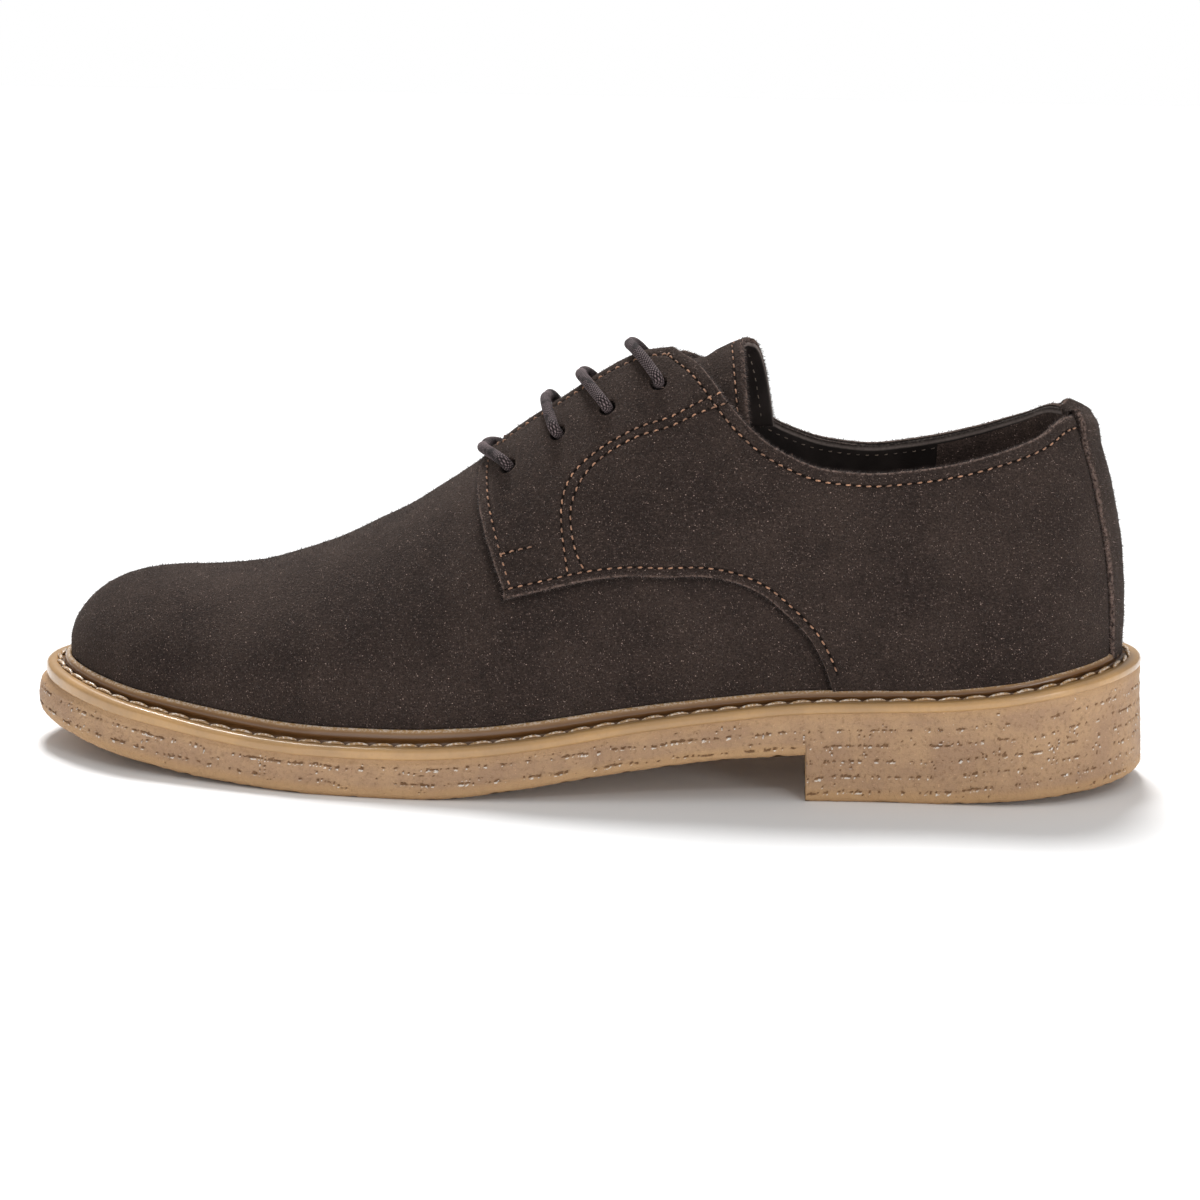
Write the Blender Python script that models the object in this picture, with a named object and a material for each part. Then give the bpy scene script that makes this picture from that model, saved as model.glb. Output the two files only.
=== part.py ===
# Lace-up derby shoe, men's size, left foot, standing empty on its sole.
# Metres, +Z up. The toe points along -X and the outer side of the foot faces -Y.
# The origin is on the floor, at the middle of the shoe's length and width.
# Stations run from 0 at the back of the heel to 1 at the tip of the sole.
import math

import bmesh
import bpy
from mathutils import Matrix, Vector

# Driving dimensions
LENGTH = 0.302            # whole length of the sole
BALL_WIDTH = 0.091        # last, across the ball at the feather edge
HEEL_WIDTH = 0.060        # last, across the heel seat at the feather edge
INSTEP_HEIGHT = 0.1125    # floor to the top of the lacing
HEEL_HEIGHT = 0.0250      # floor to the feather edge at the heel
FOREFOOT_HEIGHT = 0.0111  # floor to the feather edge at the ball
COLLAR_HEIGHT = 0.0838    # floor to the lowest point of the collar
TOE_BOX_HEIGHT = 0.0477   # floor to the top of the toe box
TOE_SPRING = 0.0090       # how far the sole's tip lifts off the floor
WELT_WIDTH = 0.0070       # how far the sole stands out round the upper
UPPER_WALL = 0.0020       # leather and lining together
OVERLAY_STEP = 0.0011     # how far the quarters stand proud of the vamp
RIM_EDGE = 0.0004         # how far the quarters stand over the lining at the rim
OVERLAY_SINK = 0.0009     # how far the quarters are let into the wall
GAP = 0.0003              # clearance between pieces that meet
HEEL_BREAST = 0.0905      # back of the sole to the front of the heel
BREAST_HOLLOW = 0.0030    # how far the heel's front face is hollowed
BREAST_RUN = 0.0004       # how far the front of the heel leans
HEEL_BEVEL = 0.0046       # lift of the heel's back edge off the floor
WAIST_LIFT = 0.0122       # floor to the sole's underside in front of the heel
SOLE_FLARE = 0.0014       # how far the sole's side leans out to the floor
SOLE_EDGE = 0.0012        # bevel along the bottom edge
SIDE_STEP = 0.0006        # setback of the side under the smooth strip
WELT_THICKNESS = 0.0034   # smooth strip above the ribbed side
RAND_HEIGHT = 0.0046      # lip against the upper, above the feather edge
RAND_THICKNESS = 0.0014
RAND_GROOVE = 0.0010      # depth of the groove between lip and stitches
RAND_EDGE = 0.0003        # rounding along the top of the lip
INSOLE_THICKNESS = 0.0030
TONGUE_THICKNESS = 0.0024
TONGUE_DROP = 0.0024      # room under the facings for the lace's hidden runs
BACKSTAY_WIDTH = 0.0190
BACKSTAY_THICKNESS = 0.0011
BACKSTAY_FOLD = 0.0010    # how far the folded bump at its top stands out
EYELETS = 4
EYELET_BORE = 0.0042
EYELET_INSET = 0.0130     # throat edge to the middle of an eyelet
EYELET_SIDES = 12
BORE_LENGTH = 0.0100      # long enough to pass through facing, vamp and lining
LACE_DIAMETER = 0.0029
LACE_LEAN = 0.0170        # how far a bar leans to the toe, as a share of the length
LACE_HIDDEN = 0.0012      # the lace is pressed flat under the facings
THROAT_GAP = 0.0150       # between the facings, at their lowest eyelet
THROAT_FLARE = 0.0010     # how much wider the gap is at the top eyelet

# Stations of the main features, as shares of the length
HEEL_CENTRE = 0.145       # middle of the round heel seat
TOE_CENTRE = 0.868        # middle of the round toe
UPPER_BACK = (WELT_WIDTH + SOLE_FLARE) / LENGTH  # back of the feather edge
UPPER_TIP = 1.0 - UPPER_BACK                     # front of the feather edge
THROAT_FRONT = 0.587      # lower end of the facings
HEEL_FLAT = 0.190         # the heel stands flat from here to its front
COLLAR_FRONT = 0.300      # where the collar turns up to the lacing
THROAT_TOP = 0.420        # upper end of the facings
EYELET_FIRST = 0.561
EYELET_LAST = 0.434
TONGUE_FRONT = 0.640
TONGUE_TIP = 0.358
TONGUE_LEAN = 0.020       # how much further back the tongue's end runs at its edges
THROAT_ROUND = 0.05       # share of the throat over which its front end closes
FOLD_PLACE = 0.93         # the fold's place, as a share of the backstay's height
FOLD_REACH = 0.10         # and how far it reaches up and down
TOE_SQUARENESS = 2.15     # 2 is an ellipse; more is squarer

# Plan of the last: station, outer and inner half widths as shares of the ball width,
# and the middle line's share of it towards the inner side
PLAN = [
    # station, outer, inner, ridge
    (0.000, 0.300, 0.300, 0.010),
    (0.060, 0.322, 0.335, 0.010),
    (0.145, 0.327, 0.340, 0.010),
    (0.210, 0.330, 0.325, 0.008),
    (0.280, 0.345, 0.295, 0.004),
    (0.350, 0.378, 0.272, 0.004),
    (0.420, 0.415, 0.278, 0.010),
    (0.490, 0.452, 0.318, 0.022),
    (0.560, 0.485, 0.378, 0.036),
    (0.640, 0.503, 0.450, 0.045),
    (0.710, 0.490, 0.492, 0.045),
    (0.780, 0.440, 0.478, 0.040),
    (0.868, 0.345, 0.405, 0.034),
    (0.940, 0.265, 0.345, 0.030),
    (1.000, 0.215, 0.300, 0.028),
]

# Heights along the last: station, feather edge between heel and forefoot height,
# its lift at the toe as a share of the toe spring
FEATHER = [
    # station, heel share, toe share
    (0.000, 1.50, 0.00),
    (0.030, 1.45, 0.00),
    (0.060, 1.34, 0.00),
    (0.095, 1.19, 0.00),
    (0.145, 1.00, 0.00),
    (0.190, 0.90, 0.00),
    (0.250, 0.85, 0.00),
    (0.310, 0.80, 0.00),
    (0.380, 0.67, 0.00),
    (0.440, 0.52, 0.00),
    (0.530, 0.21, 0.00),
    (0.580, 0.085, 0.00),
    (0.640, 0.015, 0.00),
    (0.700, 0.00, 0.00),
    (0.750, 0.00, 0.04),
    (0.803, 0.00, 0.18),
    (0.860, 0.00, 0.37),
    (0.915, 0.00, 0.61),
    (0.957, 0.00, 0.84),
    (1.000, 0.00, 1.10),
]

# Top line of the last: station, height as a share of the instep height above the
# toe box, the section's squareness, and its swell as a share of the ball width
CROWN = [
    # station, rise, squareness, swell
    (0.000, 1.06, 2.00, 0.010),
    (0.060, 1.16, 2.00, 0.020),
    (0.145, 1.35, 2.00, 0.040),
    (0.300, 1.35, 2.00, 0.050),
    (0.360, 1.20, 2.02, 0.050),
    (0.400, 1.085, 2.05, 0.048),
    (0.423, 1.030, 2.05, 0.044),
    (0.445, 1.010, 2.05, 0.042),
    (0.468, 0.962, 2.05, 0.040),
    (0.520, 0.795, 2.05, 0.036),
    (0.560, 0.662, 2.05, 0.034),
    (0.600, 0.494, 2.05, 0.032),
    (0.658, 0.316, 2.10, 0.030),
    (0.694, 0.221, 2.15, 0.028),
    (0.731, 0.139, 2.20, 0.027),
    (0.768, 0.077, 2.30, 0.026),
    (0.805, 0.028, 2.40, 0.024),
    (0.868, 0.000, 2.55, 0.020),
    (1.000, 0.000, 2.60, 0.018),
]

# Rim of the collar: station, height as a share of the rise from its lowest point to
# the top of the lacing, for the outer and the inner side
COLLAR = [
    # station, outer, inner
    (0.000, 0.500, 0.500),
    (0.060, 0.490, 0.490),
    (0.075, 0.450, 0.450),
    (0.098, 0.350, 0.360),
    (0.137, 0.225, 0.235),
    (0.178, 0.100, 0.115),
    (0.214, 0.035, 0.040),
    (0.250, 0.000, 0.000),
    (0.286, 0.025, 0.040),
    (0.328, 0.185, 0.190),
    (0.353, 0.365, 0.370),
    (0.374, 0.590, 0.595),
    (0.390, 0.790, 0.795),
    (0.402, 0.900, 0.900),
    (0.423, 1.000, 1.000),
    (0.455, 1.200, 1.200),
    (1.000, 1.200, 1.200),
]

# Underside of the sole: station, lift as a share of the waist lift and of the toe spring
TREAD = [
    # station, waist share, toe share
    (0.300, 1.00, 0.00),
    (0.370, 0.90, 0.00),
    (0.420, 0.75, 0.00),
    (0.470, 0.56, 0.00),
    (0.520, 0.34, 0.00),
    (0.560, 0.17, 0.00),
    (0.600, 0.03, 0.00),
    (0.620, 0.00, 0.00),
    (0.710, 0.00, 0.00),
    (0.760, 0.00, 0.05),
    (0.811, 0.00, 0.14),
    (0.845, 0.00, 0.24),
    (0.880, 0.00, 0.39),
    (0.912, 0.00, 0.54),
    (0.944, 0.00, 0.72),
    (1.000, 0.00, 1.00),
]

# Lower edge of the quarter: station, height as a share of the last's section
QUARTER_EDGE = [
    # station, rise
    (0.272, 0.000),
    (0.277, 0.035),
    (0.286, 0.075),
    (0.297, 0.108),
    (0.319, 0.150),
    (0.340, 0.188),
    (0.366, 0.220),
    (0.402, 0.245),
    (0.449, 0.265),
    (0.503, 0.290),
    (0.557, 0.310),
]

# Front edge of the facing: share of the way from its lower corner to the throat, station
FACING_EDGE = [
    # share, station
    (0.00, 0.557),
    (0.15, 0.567),
    (0.33, 0.577),
    (0.54, 0.585),
    (0.84, 0.590),
    (0.94, 0.587),
    (1.00, 0.582),
]

# Tongue: station, top line as a share of the rise of the last, half width in ball widths
TONGUE = [
    # station, rise, half width
    (0.342, 1.100, 0.300),
    (0.362, 1.100, 0.300),
    (0.385, 1.070, 0.295),
    (0.400, 1.030, 0.290),
    (0.423, 1.015, 0.285),
    (0.445, 1.000, 0.280),
    (0.468, 0.962, 0.275),
    (0.520, 0.795, 0.260),
    (0.560, 0.662, 0.240),
    (0.600, 0.494, 0.225),
    (0.640, 0.365, 0.210),
]

# Top of the welt outside its groove: share of its width, drop in groove depths
WELT_TOP = [
    # width share, drop
    (0.40, 1.00),
    (0.52, 0.00),
    (0.80, 0.00),
    (1.00, 1.35),
]

# Side of the sole under the smooth strip: share of its height, share of its flare
SOLE_SIDE = [
    # height share, flare share
    (0.16, 0.00),
    (0.55, 0.50),
]

# Ribs between the round heel and the round toe, closest where the collar turns
WAIST_STATIONS = [
    HEEL_CENTRE, 0.190, 0.235, 0.272, 0.290, 0.310, 0.330, 0.352, 0.374, 0.392, 0.408,
    0.424, 0.448, 0.480, 0.520, 0.557, 0.574, THROAT_FRONT - 0.004, THROAT_FRONT,
    0.615, 0.650, 0.690, 0.730, 0.775, 0.822, TOE_CENTRE,
]

HEEL_RIBS = 7             # ribs round the heel seat, on each side
TOE_RIBS = 8              # ribs round the toe, on each side
WALL_ROWS = 11            # rows from the feather edge to the top
QUARTER_ROWS = 10         # rows from the quarter's lower edge to the rim


def row_value(table, station, column):
    """A table's column at a station, on a smooth curve through its rows."""
    rows = sorted(table)
    if station <= rows[0][0]:
        return rows[0][column]
    if station >= rows[-1][0]:
        return rows[-1][column]
    index = max(i for i in range(len(rows)) if rows[i][0] <= station)
    index = min(index, len(rows) - 2)
    low, high = rows[index], rows[index + 1]
    before, after = rows[max(index - 1, 0)], rows[min(index + 2, len(rows) - 1)]
    run = high[0] - low[0]
    step = high[column] - low[column]

    def slope(first, middle, last):
        left = (middle[column] - first[column]) / max(middle[0] - first[0], 1e-9)
        right = (last[column] - middle[column]) / max(last[0] - middle[0], 1e-9)
        if first is middle:
            return right
        if last is middle:
            return left
        return 0.0 if left * right <= 0 else 2 * left * right / (left + right)

    t = (station - low[0]) / run
    start = slope(before, low, high) * run
    end = slope(low, high, after) * run
    return (low[column] + start * t + (3 * step - 2 * start - end) * t ** 2
            + (start + end - 2 * step) * t ** 3)


def place(station, across, height):
    """A point of the shoe; across is positive towards the inner side of the foot."""
    return Vector((LENGTH * (0.5 - station), across, height))


def feather_height(station):
    """Floor to the edge where the upper meets the sole."""
    heel = row_value(FEATHER, station, 1) * (HEEL_HEIGHT - FOREFOOT_HEIGHT)
    toe = row_value(FEATHER, station, 2) * TOE_SPRING
    return FOREFOOT_HEIGHT + heel + toe


def crown_height(station):
    return TOE_BOX_HEIGHT + row_value(CROWN, station, 1) * (INSTEP_HEIGHT - TOE_BOX_HEIGHT)


def collar_height(station, side):
    share = row_value(COLLAR, station, 1 if side < 0 else 2)
    return COLLAR_HEIGHT + share * (INSTEP_HEIGHT - COLLAR_HEIGHT)


def ridge_across(station):
    return row_value(PLAN, station, 3) * BALL_WIDTH


def heel_share(station):
    """Ties the half widths to the heel width at the back and the ball width in front."""
    blend = min(max((station - HEEL_CENTRE) / (0.5 - HEEL_CENTRE), 0.0), 1.0)
    blend = blend * blend * (3 - 2 * blend)
    heel_shares = row_value(PLAN, HEEL_CENTRE, 1) + row_value(PLAN, HEEL_CENTRE, 2)
    heel = HEEL_WIDTH / (BALL_WIDTH * heel_shares)
    return heel + (1.0 - heel) * blend


def half_width(station, side):
    """Middle line to the feather edge; side is -1 for the outer, +1 for the inner."""
    share = row_value(PLAN, station, 1 if side < 0 else 2)
    return share * BALL_WIDTH * heel_share(station)


class Rib:
    """One section of the last, from the feather edge to the middle of its top."""

    def __init__(self, walk, side):
        """walk runs 0 to 1 round the heel, 1 to 2 along the waist, 2 to 3 round the toe."""
        self.side = side
        if walk < 1.0:
            angle = walk * math.pi / 2
            self.station = HEEL_CENTRE - (HEEL_CENTRE - UPPER_BACK) * math.cos(angle)
            self.centre_station = HEEL_CENTRE
            spread = math.sin(angle)
        elif walk <= 2.0:
            self.station = HEEL_CENTRE + (TOE_CENTRE - HEEL_CENTRE) * (walk - 1.0)
            self.centre_station = self.station
            spread = 1.0
        else:
            angle = (3.0 - walk) * math.pi / 2
            round_toe = 2 / TOE_SQUARENESS
            self.station = TOE_CENTRE + (UPPER_TIP - TOE_CENTRE) * math.cos(angle) ** round_toe
            self.centre_station = TOE_CENTRE
            spread = math.sin(angle) ** round_toe
        middle = ridge_across(self.station)
        outward = side * half_width(self.station, side) - middle
        self.foot = place(self.station, middle + outward * spread, 0.0)
        self.centre = place(self.centre_station, ridge_across(self.centre_station), 0.0)
        self.low = feather_height(self.station)
        self.high = crown_height(min(self.station, self.centre_station))
        self.square = row_value(CROWN, self.station, 2)
        self.swell = row_value(CROWN, self.station, 3) * BALL_WIDTH

    def at(self, rise, crown=None):
        """A point on the section; rise runs from 0 at the foot to 1 at the top."""
        high = self.high if crown is None else crown
        angle = min(max(rise, 0.0), 1.0) * math.pi / 2
        power = 2 / self.square
        reach = math.cos(angle) ** power if angle < math.pi / 2 - 1e-9 else 0.0
        climb = math.sin(angle) ** power
        span = (self.foot - self.centre).length
        reach += self.swell / max(span, 0.01) * math.sin(math.pi * climb) ** 2 * (1 - climb)
        point = self.centre.lerp(self.foot, reach)
        if reach > 1.0:
            point = self.foot + (self.foot - self.centre) * (reach - 1.0)
        point.z = self.low + (high - self.low) * climb
        return point


def rim_rise(rib):
    """How far up a section the upper reaches, at the collar or the throat."""
    station = rib.station
    if station > THROAT_FRONT:
        return 1.0
    gap = throat_half_gap(station)
    ceiling = collar_height(station, rib.side)
    low, high = 0.0, 1.0
    for _ in range(30):
        middle = (low + high) / 2
        point = rib.at(middle)
        in_throat = station > COLLAR_FRONT and abs(point.y - rib.centre.y) < gap
        if point.z > ceiling or in_throat:
            high = middle
        else:
            low = middle
    return low


def throat_half_gap(station):
    """Half the gap between the facings; it closes in a small round at the front."""
    along = (THROAT_FRONT - station) / (THROAT_FRONT - THROAT_TOP)
    along = min(max(along, 0.0), 1.0)
    closing = min(along / THROAT_ROUND, 1.0)
    return (THROAT_GAP + THROAT_FLARE * along) / 2 * math.sqrt(closing)


def last_point(walk, side, rise, proud=0.0, crown=None):
    """A point on the last, moved out along its surface by proud."""
    rib = Rib(walk, side)
    point = rib.at(rise, crown)
    if proud == 0.0:
        return point
    return point + surface_normal(walk, side, rise, crown) * proud


def surface_normal(walk, side, rise, crown=None):
    """Outward normal of the last, from its neighbours along and up the section."""
    step = 0.004
    low = min(max(rise - step, 0.004), 0.988)
    high = low + 2 * step
    back = min(max(walk - 0.01, 0.0), 2.97)
    front = back + 0.02
    up = Rib(walk, side).at(high, crown) - Rib(walk, side).at(low, crown)
    level = min(max(rise, 0.004), 0.996)
    along = Rib(front, side).at(level, crown) - Rib(back, side).at(level, crown)
    normal = along.cross(up) * side
    if normal.length < 1e-12:
        return Vector((0, 0, 1))
    normal.normalize()
    outward = Rib(walk, side).foot - Rib(walk, side).centre
    if normal.dot(outward) < 0 and rise < 0.5:
        normal.negate()
    return normal


def walk_at(station):
    """The walk value of a station on the straight part of the last."""
    return 1.0 + (station - HEEL_CENTRE) / (TOE_CENTRE - HEEL_CENTRE)


def walks():
    """Rib places from the back of the heel to the tip of the toe, for one side."""
    places = [i / HEEL_RIBS for i in range(HEEL_RIBS)]
    places += [walk_at(station) for station in WAIST_STATIONS]
    places += [2.0 + i / TOE_RIBS for i in range(1, TOE_RIBS + 1)]
    return places


def new_object(name, mesh_builder, colour, roughness):
    """An object from a bmesh, with its own material, shaded smooth."""
    mesh = bpy.data.meshes.new(name)
    bm = bmesh.new()
    mesh_builder(bm)
    bmesh.ops.remove_doubles(bm, verts=bm.verts, dist=1e-6)
    bmesh.ops.dissolve_degenerate(bm, edges=bm.edges, dist=1e-7)
    bmesh.ops.recalc_face_normals(bm, faces=bm.faces)
    if bm.calc_volume(signed=True) < 0:
        bmesh.ops.reverse_faces(bm, faces=bm.faces)
    bm.to_mesh(mesh)
    bm.free()
    obj = bpy.data.objects.new(name, mesh)
    bpy.context.scene.collection.objects.link(obj)
    material = bpy.data.materials.new(name)
    material.use_nodes = True
    shader = material.node_tree.nodes["Principled BSDF"]
    shader.inputs["Base Color"].default_value = (*colour, 1.0)
    shader.inputs["Roughness"].default_value = roughness
    shader.inputs["Metallic"].default_value = 0.0
    mesh.materials.append(material)
    mesh.shade_smooth()
    mesh.set_sharp_from_angle(angle=math.radians(35))
    return obj


def grid_faces(bm, rows):
    """Quads between rows of vertices of equal length; repeated vertices are welded later."""
    for low, high in zip(rows, rows[1:]):
        for i in range(len(low) - 1):
            corners = [low[i], low[i + 1], high[i + 1], high[i]]
            if len(set(corners)) > 2:
                bm.faces.new(list(dict.fromkeys(corners)))


def shell_between(bm, outer, inner):
    """A closed wall between two grids of points with the same rows and columns."""
    out = [[bm.verts.new(p) for p in row] for row in outer]
    inn = [[bm.verts.new(p) for p in row] for row in inner]
    grid_faces(bm, out)
    grid_faces(bm, inn)
    grid_faces(bm, [out[0], inn[0]])
    grid_faces(bm, [out[-1], inn[-1]])
    grid_faces(bm, [[row[0] for row in out], [row[0] for row in inn]])
    grid_faces(bm, [[row[-1] for row in out], [row[-1] for row in inn]])


def wall_columns(offset):
    """Columns of the upper round one side after the other, each from foot to rim."""
    sides = []
    for side in (-1, 1):
        columns = []
        for walk in walks():
            rib = Rib(walk, side)
            top = rim_rise(rib)
            if walk >= 3.0:
                walk = 2.999
            column = [last_point(walk, side, top * i / WALL_ROWS, offset)
                      for i in range(WALL_ROWS + 1)]
            column[0].z = rib.low + GAP
            columns.append(column)
        sides.append(columns)
    return sides


def build_wall(bm):
    """The upper's own wall: both sides of the last, open at the top and underneath."""
    places = walks()
    first_closed = next(i for i, w in enumerate(places)
                        if 1.0 <= w <= 2.0 and Rib(w, 1).station >= THROAT_FRONT - 1e-6)
    skins = []
    for offset in (0.0, -UPPER_WALL):
        outer_side, inner_side = wall_columns(offset)
        for i in range(len(places)):
            both = [outer_side[i], inner_side[i]]
            joined = range(WALL_ROWS + 1) if i in (0, len(places) - 1) else []
            for row in joined:
                middle = (both[0][row] + both[1][row]) / 2
                both[0][row] = middle
                both[1][row] = middle
            if i >= first_closed:
                middle = (both[0][-1] + both[1][-1]) / 2
                both[0][-1] = middle
                both[1][-1] = middle
        skins.append((outer_side, inner_side))
    toe_start = places.index(walk_at(TOE_CENTRE))
    for sides in skins:
        pole = sides[0][toe_start][-1].copy()
        for columns in sides:
            for column in columns[toe_start:]:
                column[-1] = pole.copy()
    made = []
    for sides in skins:
        made.append([[[bm.verts.new(p) for p in column] for column in columns]
                     for columns in sides])
    for sides in made:
        for columns in sides:
            grid_faces(bm, columns)
    for side in (0, 1):
        out, inn = made[0][side], made[1][side]
        grid_faces(bm, [[c[0] for c in out], [c[0] for c in inn]])
        grid_faces(bm, [[c[-1] for c in out[:first_closed + 1]],
                        [c[-1] for c in inn[:first_closed + 1]]])


def quarter_column(walk, side, low, proud):
    """One column of the quarter, from its lower edge to just over the wall's rim."""
    rib = Rib(walk, side)
    top = rim_rise(rib) + rim_overlap(rib)
    return [last_point(walk, side, low + (top - low) * i / QUARTER_ROWS, proud)
            for i in range(QUARTER_ROWS + 1)]


def rim_overlap(rib):
    """The quarter's edge stands just over the lining's."""
    return RIM_EDGE / ((rib.high - rib.low) * math.pi / 2)


def rand_rise(rib):
    """How far up a section the sole's lip covers the upper."""
    climb = (RAND_HEIGHT + GAP) / (rib.high - rib.low)
    return math.asin(climb ** (rib.square / 2)) * 2 / math.pi


def quarter_places():
    """Rib places of the quarter behind its front edge, with the height of its lower edge."""
    front = walk_at(QUARTER_EDGE[-1][0])
    places = []
    for walk in reversed([w for w in walks() if w < front - 1e-6]):
        rib = Rib(walk, 1)
        low = rand_rise(rib)
        if walk >= 1.0:
            low = max(low, row_value(QUARTER_EDGE, rib.station, 1))
        places.append((walk, low))
    return places


def build_quarters(bm):
    """Both quarters with their facings, in one band round the heel."""
    skins = []
    for proud in (OVERLAY_STEP, -OVERLAY_SINK):
        halves = []
        for side in (-1, 1):
            columns = [facing_edge(side, proud)]
            for walk, low in quarter_places():
                columns.append(quarter_column(walk, side, low, proud))
            halves.append(columns)
        outer, inner = halves
        seam = [(a + b) / 2 for a, b in zip(outer[-1], inner[-1])]
        skins.append(outer[:-1] + [seam] + list(reversed(inner[:-1])))
    shell_between(bm, skins[0], skins[1])


def facing_edge(side, proud):
    """The quarter's front edge, leaning from the throat down to its lower corner."""
    points = []
    for i in range(QUARTER_ROWS + 1):
        share = i / QUARTER_ROWS
        walk = walk_at(row_value(FACING_EDGE, share, 1))
        rib = Rib(walk, side)
        low = QUARTER_EDGE[-1][1]
        top = throat_edge_rise(rib) + rim_overlap(rib)
        points.append(last_point(walk, side, low + (top - low) * share, proud))
    return points


def throat_edge_rise(rib):
    """Where the facing's edge would lie on a section just in front of the throat."""
    gap = THROAT_GAP / 2
    low, high = 0.0, 1.0
    for _ in range(30):
        middle = (low + high) / 2
        if abs(rib.at(middle).y - rib.centre.y) < gap:
            high = middle
        else:
            low = middle
    return low


def eyelet_rises(side):
    """Station and rise of each eyelet's middle on one facing, from the toe back."""
    places = []
    for i in range(EYELETS):
        station = EYELET_FIRST + (EYELET_LAST - EYELET_FIRST) * i / (EYELETS - 1)
        rib = Rib(walk_at(station), side)
        edge = rib.at(rim_rise(rib))
        low, high = 0.0, rim_rise(rib)
        for _ in range(30):
            middle = (low + high) / 2
            if (rib.at(middle) - edge).length > EYELET_INSET:
                low = middle
            else:
                high = middle
        places.append((station, low))
    return places


def eyelet_places(side):
    """Middle and outward axis of each eyelet on one facing, from the toe back."""
    return [(last_point(walk_at(station), side, rise),
             surface_normal(walk_at(station), side, rise))
            for station, rise in eyelet_rises(side)]


def cutter(name, mesh_builder):
    """A hidden solid that cuts or joins another."""
    obj = new_object(name, mesh_builder, (0.5, 0.5, 0.5), 0.5)
    obj.hide_render = True
    obj.display_type = "WIRE"
    return obj


def boolean(obj, tool, operation):
    modifier = obj.modifiers.new(tool.name, "BOOLEAN")
    modifier.operation = operation
    modifier.object = tool
    modifier.solver = "EXACT"


def build_bores(bm):
    """Eight round bores through the facings."""
    for side in (-1, 1):
        for middle, axis in eyelet_places(side):
            turn = axis.to_track_quat("Z", "Y").to_matrix().to_4x4()
            bmesh.ops.create_cone(bm, cap_ends=True, segments=EYELET_SIDES,
                                  radius1=EYELET_BORE / 2, radius2=EYELET_BORE / 2,
                                  depth=BORE_LENGTH,
                                  matrix=Matrix.Translation(middle) @ turn)


def make_upper():
    upper = new_object("upper", build_wall, (0.055, 0.036, 0.025), 0.95)
    boolean(upper, cutter("quarters_form", build_quarters), "UNION")
    boolean(upper, cutter("eyelet_bores", build_bores), "DIFFERENCE")
    return upper


def outline_normal(walk, side):
    """Outward direction of the feather edge, level with the floor."""
    back, front = max(walk - 0.02, 0.0), min(walk + 0.02, 3.0)
    along = Rib(front, side).foot - Rib(back, side).foot
    if walk < 1e-6:
        return Vector((1, 0, 0))
    if walk > 3.0 - 1e-6:
        return Vector((-1, 0, 0))
    along.z = 0
    normal = Vector((0, 0, 1)).cross(along.normalized()) * (-side)
    return normal.normalized()


def outline_point(walk, side, outward, height):
    foot = Rib(walk, side).foot
    if walk < 1e-6 or walk > 3.0 - 1e-6:
        foot.y = (Rib(walk, -1).foot.y + Rib(walk, 1).foot.y) / 2
    point = foot + outline_normal(walk, side) * outward
    point.z = height
    return point


def sole_walks():
    """Rib places of the sole, with a close pair at the front face of the heel."""
    breast = HEEL_BREAST / LENGTH
    lean = BREAST_RUN / LENGTH
    extra = [walk_at(breast), walk_at(breast + lean)]
    kept = [w for w in walks() if all(abs(w - e) > 0.02 for e in extra)]
    return sorted(kept + extra)


def tread_height(station):
    """Floor to the underside of the sole."""
    if station < (HEEL_BREAST + BREAST_RUN / 2) / LENGTH:
        return heel_bevel(station)
    waist = row_value(TREAD, station, 1) * WAIST_LIFT
    return waist + row_value(TREAD, station, 2) * TOE_SPRING


def heel_bevel(station):
    """The back of the heel is bevelled a little off the floor."""
    share = max(1.0 - station / HEEL_FLAT, 0.0)
    return HEEL_BEVEL * share ** 1.3


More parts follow.
